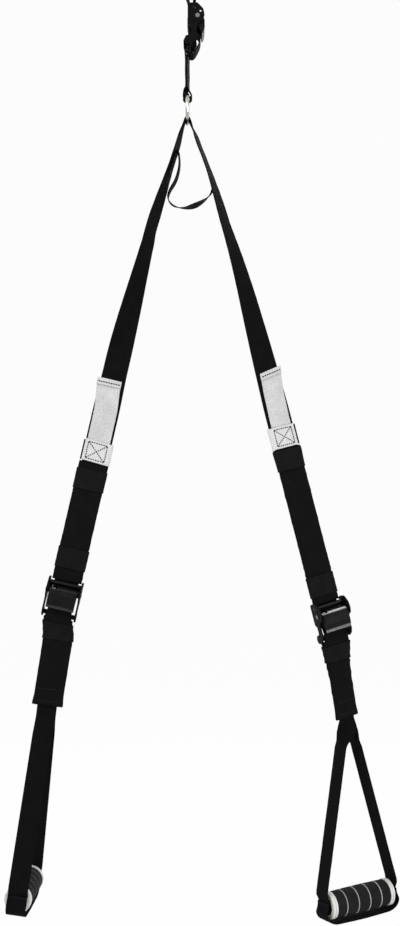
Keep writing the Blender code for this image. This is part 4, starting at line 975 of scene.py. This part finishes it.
def anchor_strap():
    """From its sewn end round the guide bar, over the bar that it hangs on, through the cam to its tail."""
    top = -ANCHOR_BUCKLE_DROP
    guide_x = ANCHOR_STRAP_X + GUIDE_FRONT
    guide_z = top - GUIDE_DROP
    wrap = GUIDE_RADIUS + GAP + WEBBING / 2
    sewn_z = guide_z + FIXED_END_LENGTH
    halfway = mix(sewn_z, guide_z + wrap, 0.5)
    path = [(guide_x - LAYER / 2, sewn_z), (guide_x - LAYER / 2, halfway)]
    path += arc(guide_x, guide_z, wrap, 180, 360, 14)
    path += [(guide_x + LAYER / 2, halfway), (guide_x + LAYER / 2, sewn_z)]
    over = arc(0, 0, BAR_ROOM_RADIUS + WEBBING / 2, 0, 180, 40)
    path += straight(path[-1], over[0])[1:] + over
    end = (ANCHOR_STRAP_X, top + WEBBING)
    cam_z = top - BASE_WIDE_DROP
    path += straight(over[-1], end)[:-1] + [end, (ANCHOR_STRAP_X, cam_z)]
    for down, front in TAIL_SHARES:
        path.append((ANCHOR_STRAP_X + TAIL_REACH * front, cam_z - TAIL_LENGTH * down))
    strap = band("bar_loop_webbing", WEB, smooth_rows([upright_row(x, z) for x, z in path], FINE_STEP))
    attach(strap, "webbing_black", "anchor", "anchor_strap")
    half = WEBBING_WIDTH / 2 * SEAM_REACH
    low = guide_z + wrap + BOX_SEAM_INSET
    high = sewn_z - BOX_SEAM_END
    box = [(-half, low), (half, low), (half, high), (-half, high), (-half, low), (half, high)]
    lines = []
    for side in (-1, 1):
        x = guide_x + side * (LAYER + WEBBING) / 2
        for corners in (box, [(half, low), (-half, high)]):
            lines.append([(Vector((x, y, z)), X_AXIS * side) for y, z in corners])
    attach(stitches("bar_loop_sewing", GREY_THREAD, lines), "webbing_black", "anchor")
    hem_z = cam_z - TAIL_LENGTH * TAIL_HEM_SHARES[0]
    hem_x = ANCHOR_STRAP_X + TAIL_REACH * TAIL_HEM_SHARES[1] + WEBBING * 0.62
    hem = [(Vector((hem_x, y, hem_z)), X_AXIS) for y in (-half, half)]
    attach(stitches("bar_loop_tail_hem", GREY_THREAD, [hem]), "webbing_black", "anchor")


def stub_strap():
    """A closed loop from the buckle's end bar to the ring, sewn flat between them."""
    bar_x = ANCHOR_STRAP_X - END_BAR_BACK
    bar_z = -ANCHOR_BUCKLE_DROP - END_BAR_DROP
    wire_z = -RING_DROP + RING_RADIUS
    half = WEBBING_WIDTH / 2
    low_z = wire_z + STUB_OPEN_LENGTH
    high_z = bar_z - STUB_SPREAD_LENGTH

    def middle_x(z):
        return mix(bar_x, 0, (bar_z - z) / (bar_z - wire_z))

    def layer(side):
        places = [(high_z, LAYER / 2, half), (mix(high_z, low_z, 0.5), LAYER / 2, half)]
        places.append((low_z, LAYER / 2, half * 0.94))
        places.append((mix(low_z, wire_z, 0.5), STUB_LOOP_HALF_WIDTH * 0.6, half * 0.84))
        out = []
        for z, spread, half_width in places:
            width = Y_AXIS + X_AXIS * (STUB_YAW_SHARE * ease((bar_z - z) / STUB_SPREAD_LENGTH))
            out.append(flat_row(Vector((middle_x(z) + side * spread, 0, z)), width * half_width))
        return out

    rows = [upright_row(x, z) for x, z in arc(bar_x, bar_z, BAR_WRAP, 180, 0, 14)]
    rows += layer(1)
    rows += [ring_bow(angle, STUB_LOOP_HALF_WIDTH, RING_WRAP, -1, wire_z) for angle in angles(0, 180, 14)]
    rows += layer(-1)[::-1] + rows[:1]
    strap = band("stub_webbing", WEB, smooth_rows(rows, FINE_STEP)[:-1], closed=True)
    reach = half * STUB_SEAM_REACH
    lines = []
    for side in (-1, 1):

        def at(y, z, side=side):
            return Vector((middle_x(z) + side * (LAYER + WEBBING) / 2, y, z)), X_AXIS * side

        for z in (high_z, mix(high_z, low_z, TWIN_SEAM), low_z, mix(low_z, high_z, TWIN_SEAM)):
            lines.append([at(-reach, z), at(reach, z)])
        lines += [[at(y, high_z), at(-y, low_z)] for y in (-reach, reach)]
    sewing = stitches("stub_sewing", GREY_THREAD, lines)
    attach(strap, "webbing_black", None, "stub_strap")
    attach(sewing, "webbing_black", None)
    for piece in (strap, sewing):
        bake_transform(piece)


# The V and its limiter loop


def v_webbing(leg):
    """One leg of the V, from the ring past the knee to under the patch, parted where it is straight."""
    name = leg["name"]
    start, lean, down, _ = yoke_leg(leg)
    last = lean if leg["side"] > 0 else math.pi - lean
    reach = (knee_point(leg) - start).length
    split = reach * leg["split_share"]
    turns = [mix(math.pi / 2, last, index / 11) for index in range(12)]
    rows = [ring_bow(turn, RING_WRAP, RING_WRAP, 1, RING_FOOT.z) for turn in turns]
    rows += [yoke_row(leg, place / reach) for place in steps_between(RING_CLEARANCE, split, ROW_STEP)]
    top = band(name + "_v_top_webbing", WEB, smooth_rows(rows, ROW_STEP), wave=LONG_WAVE)
    attach(top, "webbing_black", None, "yoke_strap")
    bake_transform(top)
    rows = [yoke_row(leg, place / reach) for place in steps_between(split, reach, ROW_STEP)]
    for s in steps_between(KNEE_CLEARANCE, leg["patch"] + PATCH_HEIGHT / 2, ROW_STEP):
        wider = LEG_WIDEN * ease((s - LEG_WIDEN_PLACE) / LEG_WIDEN_LENGTH)
        rows.append(leg_row(leg, 0, s, WEBBING_WIDTH / 2 + wider))
    strap = band(name + "_v_webbing", WEB, smooth_rows(rows, ROW_STEP), wave=LONG_WAVE)
    attach(strap, "webbing_black", None, "yoke_strap", name + "_main_strap")
    knee = knee_point(leg)
    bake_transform(strap)


def limiter_loop():
    half = LIMITER_WIDTH / 2
    offset = (WEBBING + LIMITER) / 2 + GAP

    def seam_axes(leg, share):
        width, back = turned_axes(yoke_leg(leg)[3], yoke_turn(leg, share))
        return width, back * leg["side"]

    def seam(leg, share, clear=0.0):
        width, out = seam_axes(leg, share)
        return flat_row(yoke_middle(leg, share) + out * (offset + clear), width * half)

    route = [RING_FOOT + Vector((x, 0, -down)) * LIMITER_SPAN for x, down, _ in LIMITER_ROUTE_SHARES]
    rows = [seam(LEFT, share) for share in LEFT_SEAM_SHARES]
    rows += [seam(LEFT, share, clear) for share, clear in FOLD_SHARES]
    for index, middle in enumerate(route):
        tangent = (route[min(index + 1, len(route) - 1)] - route[max(index - 1, 0)]).normalized()
        turn = math.radians(LIMITER_ROUTE_SHARES[index][2])
        width = Y_AXIS * math.sin(turn) + Vector((-tangent.z, 0, tangent.x)) * math.cos(turn)
        rows.append(flat_row(middle, width * half))
    rows += [seam(RIGHT, share) for share in RIGHT_SEAM_SHARES]
    loop = band("limiter_webbing", THIN_WEB, smooth_rows(rows, LIMITER_STEP), thickness=LIMITER)
    attach(loop, "webbing_black", "yoke", "limiter_loop")
    lines = []
    for leg, shares in ((LEFT, LEFT_SEAM_SHARES), (RIGHT, RIGHT_SEAM_SHARES)):
        near, beside = shares[:2]
        inner, far = shares[-2:]
        for share in (near, mix(near, beside, 0.3), inner, mix(inner, far, 0.7)):
            row = seam(leg, share, LIMITER / 2)
            out = seam_axes(leg, share)[1]
            lines.append([(row(-LIMITER_SEAM_REACH), out), (row(LIMITER_SEAM_REACH), out)])
    sewing = stitches("limiter_sewing", GREY_THREAD, lines, **FINE_STITCH)
    attach(sewing, "webbing_black", "yoke")


# Tab, patch and splice


def leg_front(leg):
    """The direction out of the leg's face at its tab."""
    return -turned_axes(leg_axes(leg)[2], leg_turn(leg, leg["tab"]))[1]


def tab_place(leg, x, d, s):
    share = (s - leg["tab"]) / (leg["patch"] - leg["tab"])
    settled = ease(share / TAB_SETTLE_SHARE)
    shift = leg["side"] * mix(TAB_ASKEW_TOP, TAB_ASKEW_FOOT, settled)
    across = x * mix(1.0, leg["tab_foot_width"] / leg["tab_width"], settled)
    return leg_place(leg, shift + across, d, s + leg["tab_slant"] * across * (1 - settled))


def tab_row(leg, d, s, wider=1.0):
    return lambda share: tab_place(leg, leg["tab_width"] / 2 * wider * share, d, s)


def pull_tab(leg):
    """White webbing folded over and hemmed at its top, bowed off the strap, its foot under the patch."""
    name = leg["name"]
    back_layer = (WEBBING + TAB_THICKNESS) / 2 + GAP
    hem_layer = back_layer + TAB_THICKNESS + GAP
    top = leg["tab"]
    fold = (TAB_THICKNESS + GAP) / 2
    rows = [tab_row(leg, hem_layer, top + TAB_HEM * share, HEM_WIDER) for share in (1.0, 0.8, 0.6, 0.4)]
    for angle in angles(0, 180, 8):
        d = (back_layer + hem_layer) / 2 + fold * math.cos(angle)
        rows.append(tab_row(leg, d, top + fold - fold * math.sin(angle), HEM_WIDER))
    rows += [tab_row(leg, back_layer, top + TAB_HEM * share, HEM_WIDER) for share in (0.5, 0.8)]
    bowed = leg["patch"] - top - TAB_HEM * 1.5
    for index in range(1, TAB_ROWS):
        share = index / TAB_ROWS
        bow = TAB_BOW * math.sin(math.pi * share) ** 2
        rows.append(tab_row(leg, back_layer + bow, top + TAB_HEM + bowed * share))
    for s in (leg["patch"], leg["patch"] + PATCH_HEIGHT):
        rows.append(tab_row(leg, back_layer, s - TAB_HEM / 2))
    rows = smooth_rows(rows, TAB_STEP)
    tab = band(name + "_pull_tab_webbing", TAB_WEB, rows, TAB_THICKNESS, wave=TAB_WAVE)
    attach(tab, "webbing_white", name + "_leg", name + "_pull_tab")
    out = leg_front(leg)
    face = hem_layer + TAB_THICKNESS / 2
    line = []
    for share in (-0.48, -0.24, 0.0, 0.24, 0.48):
        line.append((tab_place(leg, leg["tab_width"] * share, face, top + TAB_HEM / 2), out))
    sewing = stitches(name + "_pull_tab_hem", DARK_THREAD, [line], **HEM_STITCH)
    attach(sewing, "webbing_white", name + "_leg")


def splice(leg):
    """Dark band round the splice and the white patch sewn on its front with a box and a cross."""
    name = leg["name"]
    side = leg["side"]
    top = leg["patch"]
    foot = top + PATCH_HEIGHT
    band_back = -WEBBING / 2 - GAP - CLOTH
    band_front = WEBBING / 2 + GAP + TAB_THICKNESS + GAP + CLOTH
    middle = (band_back + band_front) / 2
    half_depth = (band_front - band_back) / 2
    places = steps_between(top + BAND_INSET, foot - BAND_INSET, BAND_STEP)
    rings = [cloth_ring(leg, BAND_WIDTH / 2, half_depth, middle, s) for s in places]
    wrap = sleeve(name + "_splice_wrap", CLOTH_LOOK, rings)
    attach(wrap, "cover_cloth_black", name + "_leg", name + "_splice_band")
    half_width = leg["patch_width"] / 2
    shift = -side * (BAND_WIDTH / 2 + PATCH_OVERHANG - half_width)
    front = band_front + GAP + PATCH_THICKNESS / 2

    def patch_row(s):
        def row(share):
            ends = max(bell(s, top, PATCH_END_ROUND), bell(s, foot, PATCH_END_ROUND))
            sink = PATCH_SIDE_SINK * abs(share) ** 6 + PATCH_END_SINK * ends
            sink += PATCH_WRAP * max(-share * side, 0) ** 12
            edge = PATCH_FRAY * ripple(Vector((share, s * 90, side)), 1.0)
            across = (half_width + edge) * share
            return leg_place(leg, shift + across, front - sink, s + leg["patch_slant"] * across)

        return row

    rows = [patch_row(s) for s in steps_between(top, foot, CLOTH_STEP)]
    patch = band(name + "_splice_patch", PATCH_WEB, rows, PATCH_THICKNESS, wave=PATCH_WAVE)
    attach(patch, "patch_white", name + "_leg", name + "_patch")
    out = -turned_axes(leg_axes(leg)[2], leg_turn(leg, top))[1]
    face = front + PATCH_THICKNESS / 2 - THREAD_SINK

    def at(x, s):
        return leg_place(leg, x, face, s + leg["patch_slant"] * (x - shift)), out

    inner = shift - side * (half_width - PATCH_SEAM_INNER)
    outer = shift + side * (half_width - PATCH_SEAM_OUTER)
    low = top + PATCH_SEAM_END
    high = foot - PATCH_SEAM_END
    corners = [(inner, low), (outer, low), (outer, high), (inner, high), (inner, low)]
    pairs = list(zip(corners, corners[1:])) + [(corners[0], corners[2]), (corners[1], corners[3])]
    lines = [[at(*start), at(*end)] for start, end in pairs]
    sewing = stitches(name + "_patch_sewing", DARK_THREAD, lines, **PATCH_STITCH)
    attach(sewing, "patch_white", name + "_leg")


# Sleeves, keepers and adjusting strap


def cloth_ring(leg, half_width, half_depth, middle_d, s, swell=None):
    def ring(x, depth):
        extra = swell(x, s) if swell else 0.0
        across = (half_width + extra * 0.5 * abs(x) ** 6) * x
        return leg_place(leg, across, middle_d + (half_depth + extra) * depth, s)

    return ring


def ribs_and_lips(share, ribs, height, lip_width):
    """Gathers of elastic: its ribs, and the rolled lip at each end, by the share of its height."""
    lip = ELASTIC_LIP * (bell(share, 0.0, lip_width) + bell(share, 1.0, lip_width))
    return height * max(math.sin(math.pi * ribs * share), 0), lip


def upper_sleeve(leg):
    name = leg["name"]
    start = leg["patch"] + PATCH_HEIGHT + BAND_INSET
    end = leg["buckle"] + COVER_ENTRY
    half_width = COVER_WIDTH / 2
    half_depth = WEBBING / 2 + COVER_ROOM + CLOTH

    def swell(x, s):
        out = 0.0
        for place, height, width, slope in WRINKLES[name]:
            fold = 0.7 + 0.3 * ripple(Vector((x * 2, place, 0)), 1.0)
            out += WRINKLE_RISE * height * bell(s, end - place + slope * x * WRINKLE_SLANT, width) * fold
        out += SLEEVE_WANDER * ripple(Vector((x * 1.2, s * 60, 3 + leg["side"])), 1.0)
        for low in (leg["keeper_top"], leg["keeper_mid"]):
            held = ease((s - low) / KEEPER_PINCH + 1) * ease((low + KEEPER_HEIGHT - s) / KEEPER_PINCH + 1)
            out *= 1 - held
        hems = bell(s, start + HEM_WIDTH, HEM_WIDTH) + bell(s, end - HEM_WIDTH, HEM_WIDTH)
        return out + SLEEVE_WANDER * hems

    places = steps_between(start, end, CLOTH_STEP)
    rings = [cloth_ring(leg, half_width, half_depth, 0, s, swell) for s in places]
    cover = sleeve(name + "_upper_sleeve", CLOTH_LOOK, rings)
    attach(cover, "cover_cloth_black", None, name + "_upper_cover")
    top, foot = slide_ends(leg)
    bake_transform(cover)
    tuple(top)
    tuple(foot)
    keeper_width = half_width + GAP + CLOTH
    keeper_depth = half_depth + GAP + CLOTH
    for label, body, ribs in (("top", "leg", 2), ("mid", "adjuster", 6)):
        low = leg["keeper_" + label]

        def gathered(x, s, low=low, ribs=ribs):
            rib, lip = ribs_and_lips((s - low) / KEEPER_HEIGHT, ribs, KEEPER_RIB, KEEPER_LIP_SHARE)
            return rib * (0.75 + 0.25 * ripple(Vector((x * 3, s * 200, ribs)), 1.0)) + lip

        places = steps_between(low, low + KEEPER_HEIGHT, ELASTIC_STEP)
        rings = [cloth_ring(leg, keeper_width, keeper_depth, 0, s, gathered) for s in places]
        keeper = sleeve(f"{name}_{label}_keeper_elastic", ELASTIC, rings)
        attach(keeper, "elastic_black", f"{name}_{body}", f"{name}_keeper_{label}")


def adjusting_strap(leg):
    """From the splice through the cam: a piece down to the cam's end, and its tail below the cam."""
    name = leg["name"]
    cam_end = leg["buckle"] + BASE_END_DROP
    places = steps_between(leg["patch"] + PATCH_HEIGHT / 2 + GAP, cam_end, ROW_STEP)
    strap = band(name + "_adjusting_webbing", WEB, [leg_row(leg, 0, s) for s in places])
    attach(strap, "webbing_black", None, name + "_adjusting_strap")
    top, foot = slide_ends(leg)
    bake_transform(strap)
    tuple(top)
    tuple(foot)
    front_of_loop = -END_BAR_BACK + BAR_WRAP + LAYER
    ready = bar_place(leg) - BAR_WRAP
    shares = [index / 8 for index in range(9)]
    rows = [leg_row(leg, front_of_loop * ease(share), mix(cam_end, ready, share)) for share in shares]
    drops = steps_between(0, ADJUSTER_TAIL, FINE_STEP)
    rows += [low_row(leg, loop_front(drop) + LAYER, drop) for drop in drops]
    tail = band(name + "_adjusting_tail", WEB, smooth_rows(rows, FINE_STEP))
    attach(tail, "webbing_black", None, name + "_adjusting_strap")
    above, below = (leg_place(leg, 0, 0, bar_place(leg) + drop) for drop in BAR_BEND)
    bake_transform(tail)
    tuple(above)
    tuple(below)


def lower_sleeve(leg):
    """Sleeve under the lever: its front flap laps the end bar, its foot is hemmed at the fork."""
    name = leg["name"]
    bottom = leg["cover_low"]
    half_width = COVER_WIDTH / 2

    def half_depth(drop):
        return mix(COVER_LOOSE, COVER_SNUG, ease((drop - COVER_TOP_DROP) / CONVERGE_LENGTH)) + CLOTH / 2

    def place(across, depth, drop):
        return low_place(leg, across, depth - COVER_MIDDLE_BACK, drop)

    def swell(x, drop):
        out = 0.0
        for low, height, width, slope in LOW_WRINKLES[name]:
            out += WRINKLE_RISE * height * bell(drop, low + slope * x * WRINKLE_SLANT, width)
        out += LOW_SLEEVE_WANDER * ripple(Vector((x * 1.1, drop * 55, 7 + leg["side"])), 1.0)
        free = ease((drop - KEEPER_LOW_DROP - KEEPER_LOW_HEIGHT) / HEM_WIDTH)
        return out * free + LOW_SLEEVE_WANDER * bell(drop, bottom - HEM_WIDTH, HEM_WIDTH)

    def flap_ring(share):
        def ring(x, depth):
            lap = ease((max(depth, 0) - FLAP_START_SHARE) / (1 - FLAP_START_SHARE))
            drop = mix(COVER_TOP_DROP - COVER_FLAP * lap, KEEPER_LOW_DROP, share)
            return place(half_width * x, half_depth(drop) * depth, drop)

        return ring

    def level_ring(drop):
        def ring(x, depth):
            extra = swell(x, drop)
            flare = FOOT_FLARE * ease((drop - bottom) / FLARE_LENGTH + 1) * abs(x) ** 4
            return place((half_width + extra * 0.4 + flare) * x, (half_depth(drop) + extra) * depth, drop)

        return ring

    def keeper_ring(drop):
        def ring(x, depth):
            share = (drop - KEEPER_LOW_DROP) / KEEPER_LOW_HEIGHT
            rib, lip = ribs_and_lips(share, 5, KEEPER_LOW_RIB, KEEPER_LOW_LIP_SHARE)
            grow = CLOTH + GAP + rib + lip
            return place((half_width + grow) * x, (half_depth(drop) + grow) * depth, drop)

        return ring

    rings = [flap_ring(index / 10) for index in range(10)]
    rings += [level_ring(drop) for drop in steps_between(KEEPER_LOW_DROP, bottom, CLOTH_STEP)]
    cover = sleeve(name + "_lower_sleeve", CLOTH_LOOK, rings)
    attach(cover, "cover_cloth_black", name + "_handle", name + "_lower_cover")
    drops = steps_between(KEEPER_LOW_DROP, KEEPER_LOW_DROP + KEEPER_LOW_HEIGHT, ELASTIC_STEP)
    keeper = sleeve(name + "_low_keeper_elastic", ELASTIC, [keeper_ring(drop) for drop in drops])
    attach(keeper, "elastic_black", name + "_handle", name + "_keeper_low")
    lines = []
    for drop in (bottom - LOW_HEM, bottom - KEEPER_LOW_HEIGHT):
        _, back = turned_axes(down_and_across(leg["side"], leg["low_lean"])[1], low_turn(leg, drop))
        for sign in (1, -1):
            depth = sign * (half_depth(drop) + THREAD_RISE)
            shares = (-0.92, -0.6, -0.3, 0.0, 0.3, 0.6, 0.92)
            lines.append([(place(half_width * x, depth, drop), back * -sign) for x in shares])
    sewing = stitches(name + "_lower_sleeve_hem", BLACK_THREAD, lines)
    attach(sewing, "cover_cloth_black", name + "_handle")


# Handle


def handle_strap(leg):
    """One closed strap: round the end bar, down the sleeve, out to the ends of the grip and through it."""
    name = leg["name"]
    _, middle, grip, behind, down, _ = handle_axes(leg)
    rows = []
    for angle in angles(180, 0, 14):
        d = BAR_WRAP * math.cos(angle) - END_BAR_BACK
        rows.append(low_row(leg, d, -BAR_WRAP * math.sin(angle), HANDLE_WIDTH / 2))

    def layer_rows(layer):
        out = []
        for drop in steps_between(BAR_CLEARANCE, leg["cover_low"], ROW_STEP):
            d = layer * (loop_front(drop) + END_BAR_BACK) - END_BAR_BACK
            out.append(low_row(leg, d, drop, HANDLE_WIDTH / 2))
        return out

    def branch(end, layer):
        drops = steps_between(KNEE_CLEARANCE, leg["handle_drop"] - BRANCH_SEAM_TOP, ROW_STEP)
        out = [branch_row(leg, end, layer, drop) for drop in drops]
        for angle in angles(0, 90, 6):
            reach = BRANCH_STAND - BRANCH_ROUND * (1 - math.cos(angle))
            height = BRANCH_ROUND * (1 - math.sin(angle))
            out.append(flat_row(middle + grip * (end * reach) - down * height, behind * (-CORE_WIDTH / 2)))
        return out

    rows += layer_rows(1) + branch(-1, 1) + branch(1, -1)[::-1] + layer_rows(-1)[::-1] + rows[:1]
    strap = band(name + "_handle_webbing", WEB, smooth_rows(rows, ROW_STEP)[:-1], closed=True, wave=TAB_WAVE)
    attach(strap, "webbing_black", name + "_handle", name + "_handle_strap")


def foot_loop(leg):
    name = leg["name"]
    _, middle, grip, behind, down, _ = handle_axes(leg)
    stand = BRANCH_STAND + LAYER
    half = behind * (HANDLE_WIDTH / 2)
    path = [(-stand, FOOT_LOOP_SEAM), (-stand - FOOT_LOOP_BULGE * 0.2, 0)]
    path.append((-stand - FOOT_LOOP_BULGE, -FOOT_LOOP_STRAIGHT))
    for angle in angles(0, 90, 10)[1:]:
        x = stand + FOOT_LOOP_BULGE - (FOOT_LOOP_SHOULDER + FOOT_LOOP_BULGE) * (1 - math.cos(angle))
        path.append((-x, -mix(FOOT_LOOP_STRAIGHT, FOOT_LOOP_DROP, math.sin(angle))))
    path.append((0, -FOOT_LOOP_DROP - FOOT_LOOP_SAG))
    path += [(-x, height) for x, height in path[-2::-1]]
    rows = [flat_row(middle + grip * x - down * height, half) for x, height in path]
    loop = band(name + "_foot_loop_webbing", WEB, smooth_rows(rows, FINE_STEP))
    attach(loop, "webbing_black", None, name + "_foot_loop")
    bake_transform(loop)
    lines = []
    for end in (-1, 1):
        out = grip * end
        for below_seam in FOOT_SEAMS:
            seam = middle + out * (stand + WEBBING / 2) - down * (FOOT_LOOP_SEAM - below_seam)
            lines.append([(seam + half * share, out) for share in (-0.88, 0.0, 0.88)])
    sewing = stitches(name + "_foot_loop_sewing", BLACK_THREAD, lines, **FINEST_STITCH)
    attach(sewing, "webbing_black", name + "_handle")


def grip_foam(leg):
    """Foam sleeve with rounded ends, squeezed into a soft groove at each thin ring."""
    name = leg["name"]
    _, middle, grip, behind, down, _ = handle_axes(leg)
    matrix = Matrix((grip, behind, -down)).transposed().to_4x4()
    matrix.translation = middle
    half = FOAM_LENGTH / 2
    inner = TUBE_RADIUS + GAP
    rings = [GRIP_RING_PITCH * (index - (GRIP_RINGS - 1) / 2) for index in range(GRIP_RINGS)]

    def surface(place):
        radius = GRIP_RADIUS - GAP - FOAM_CROWN * (place / half) ** 2
        radius -= FOAM_ROUND * (1 - min((half - abs(place)) / FOAM_ROUND_LENGTH, 1)) ** 2
        for ring in rings:
            edge = abs(place - ring) - GRIP_RING_WIDTH / 2
            squeezed = FOAM_SQUEEZE * math.exp((GAP - edge) / FOAM_SQUEEZE_LENGTH)
            radius -= GRIP_RING_DEPTH + GAP if edge < GAP else squeezed
        return radius

    places = set(steps_between(-half, half, CLOTH_STEP))
    for step in FOAM_RING_STEPS:
        places.update(ring + side * step for ring in rings for side in (-1, 1))
    for step in FOAM_END_STEPS:
        places.update((half - step, step - half))
    outside = [(surface(place), place) for place in sorted(places, reverse=True)]
    profile = [(inner, half)] + outside + [(inner, -half)]
    foam = revolved(name + "_grip_foam_sleeve", FOAM, matrix, profile, FOAM_SIDES)
    for vertex in foam.data.vertices:
        local = matrix.inverted() @ vertex.co
        away = Vector((0, local.y, local.z))
        if away.length > inner + CLOTH:
            moved = away.normalized() * (FOAM_DENT * ripple(local, FOAM_DENT_SIZE, leg["side"] * 3.1))
            vertex.co = matrix @ (local + moved)
    attach(foam, "foam_black", name + "_grip", name + "_grip_foam")


# Finishes of the solids that stay


def dress(node, material, bevel=0.0):
    """A better finish on a solid that stays, with its edges eased."""
    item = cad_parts[node]
    for slot in item.material_slots:
        slot.link = "OBJECT"
        slot.material = material
    if bevel:
        modifier = item.modifiers.new("eased_edges", "BEVEL")
        modifier.width = bevel
        modifier.segments = 2
        modifier.limit_method = "ANGLE"
        modifier.angle_limit = math.radians(40)
        modifier.use_clamp_overlap = True
        modifier.harden_normals = False


def dress_buckle(prefix, origin, up, front, painted_highlight, painted_lip_reflection):
    dress(prefix + "buckle_frame", FRAME_METAL, FRAME_BEVEL)
    finish = lever_finish(prefix + "lever_grey", origin, up, front, painted_highlight, painted_lip_reflection)
    dress(prefix + "cam_lever", finish, FINE_BEVEL)
    dress(prefix + "pivot_pin", PIN_METAL)
    dress(prefix + "cam_spring", SPRING)
    dress(prefix + "guide_bar", BAR_METAL)


def dress_solids():
    pivot = Vector((ANCHOR_STRAP_X + PIVOT_FRONT, 0, -ANCHOR_BUCKLE_DROP - PIVOT_DROP))
    dress_buckle("anchor_", pivot, Z_AXIS, X_AXIS, ANCHOR_PAINTED_LIGHT, ANCHOR_PAINTED_LIGHT)
    for leg in (LEFT, RIGHT):
        prefix = leg["name"] + "_"
        _, down, across = leg_axes(leg)
        _, back = turned_axes(across, leg["yaw"])
        pivot = leg_place(leg, 0, PIVOT_FRONT, leg["buckle"] + PIVOT_DROP)
        # With the greys of the lever's painted highlight and painted lip reflection
        dress_buckle(prefix, pivot, -down, -back, leg["painted_highlight"], leg["lip"])
        dress(prefix + "grip_tube", TUBE)
        for end in ("near", "far"):
            dress(prefix + "grip_cap_" + end, CAP, FINE_BEVEL)
        for index in range(GRIP_RINGS):
            dress(f"{prefix}grip_ring_{index + 1}", SILVER[leg["name"]])
    dress("ring", STEEL)


# Stage, light and camera


def add_mix(tree, share, low, high, output):
    """Shows one shader to the camera and to mirrors, and the other to the light that bounces."""
    path = tree.nodes.new("ShaderNodeLightPath")
    either = tree.nodes.new("ShaderNodeMath")
    either.operation = "MAXIMUM"
    seen = tree.nodes.new("ShaderNodeMath")
    seen.operation = "MULTIPLY"
    seen.inputs[1].default_value = share
    mixer = tree.nodes.new("ShaderNodeMixShader")
    for source, socket in (
        (path.outputs["Is Camera Ray"], either.inputs[0]),
        (path.outputs["Is Glossy Ray"], either.inputs[1]),
        (either.outputs[0], seen.inputs[0]),
        (seen.outputs[0], mixer.inputs[0]),
        (low.outputs[0], mixer.inputs[1]),
        (high.outputs[0], mixer.inputs[2]),
        (mixer.outputs[0], tree.nodes[output].inputs["Surface"]),
    ):
        tree.links.new(source, socket)


def glowing(tree, kind, colour, strength):
    node = tree.nodes.new("ShaderNode" + kind)
    node.inputs["Color"].default_value = (*colour, 1)
    node.inputs["Strength"].default_value = strength
    return node


def stage():
    """Pale floor that shows its own colour, and takes the object's shadow."""
    material = bpy.data.materials.new("pale_floor")
    material.use_nodes = True
    tree = material.node_tree
    shader = tree.nodes["Principled BSDF"]
    shader.inputs["Base Color"].default_value = (*grey(0.88), 1)
    shader.inputs["Roughness"].default_value = 0.95
    shader.inputs["Specular IOR Level"].default_value = 0.0
    add_mix(tree, 0.95, shader, glowing(tree, "Emission", grey(1.0), 1.0), "Material Output")
    corners = [(-1, -1), (1, -1), (1, 1), (-1, 1)]
    points = [(x * FLOOR_REACH, y * FLOOR_REACH, -FLOOR_DROP) for x, y in corners]
    mesh_piece("stage_floor", points, [(0, 1, 2, 3)], [[(0.0, 0.0)] * 4], material)


def lamp(name, place, size, power):
    light = bpy.data.lights.new(name, "AREA")
    light.shape = "SQUARE"
    light.size = size
    light.energy = power
    item = bpy.data.objects.new(name, light)
    item.location = place
    item.rotation_euler = (Vector(LIT_PLACE) - Vector(place)).to_track_quat("-Z", "Y").to_euler()
    bpy.context.scene.collection.objects.link(item)


def light_and_camera():
    scene = bpy.context.scene
    lamp("key_light", (-1.5, -2.2, 0.9), 1.6, 44)
    lamp("fill_light", (1.9, -1.9, -0.5), 1.8, 26)
    lamp("back_light", (0.3, 1.9, 0.6), 1.5, 22)
    scene.world = bpy.data.worlds.new("studio")
    scene.world.use_nodes = True
    tree = scene.world.node_tree
    background = tree.nodes["Background"]
    background.inputs["Color"].default_value = (0.97, 0.97, 0.98, 1)
    background.inputs["Strength"].default_value = 0.55
    add_mix(tree, 1.0, background, glowing(tree, "Background", grey(0.974), 1.0), "World Output")
    camera_data = bpy.data.cameras.new("camera")
    camera_data.sensor_fit = "VERTICAL"
    camera_data.sensor_height = SENSOR_HEIGHT
    camera_data.lens = SENSOR_HEIGHT / (2 * VIEW_HALF_TANGENT)
    camera = bpy.data.objects.new("camera", camera_data)
    camera.location = CAMERA_PLACE
    camera.rotation_euler = (math.radians(90), 0, 0)
    scene.collection.objects.link(camera)
    scene.camera = camera
    scene.view_settings.view_transform = "Standard"


def dress_object():
    anchor_strap()
    stub_strap()
    limiter_loop()
    for leg in (LEFT, RIGHT):
        v_webbing(leg)
        pull_tab(leg)
        splice(leg)
        upper_sleeve(leg)
        adjusting_strap(leg)
        lower_sleeve(leg)
        handle_strap(leg)
        foot_loop(leg)
        grip_foam(leg)
    dress_solids()


stage()
light_and_camera()
dress_object()
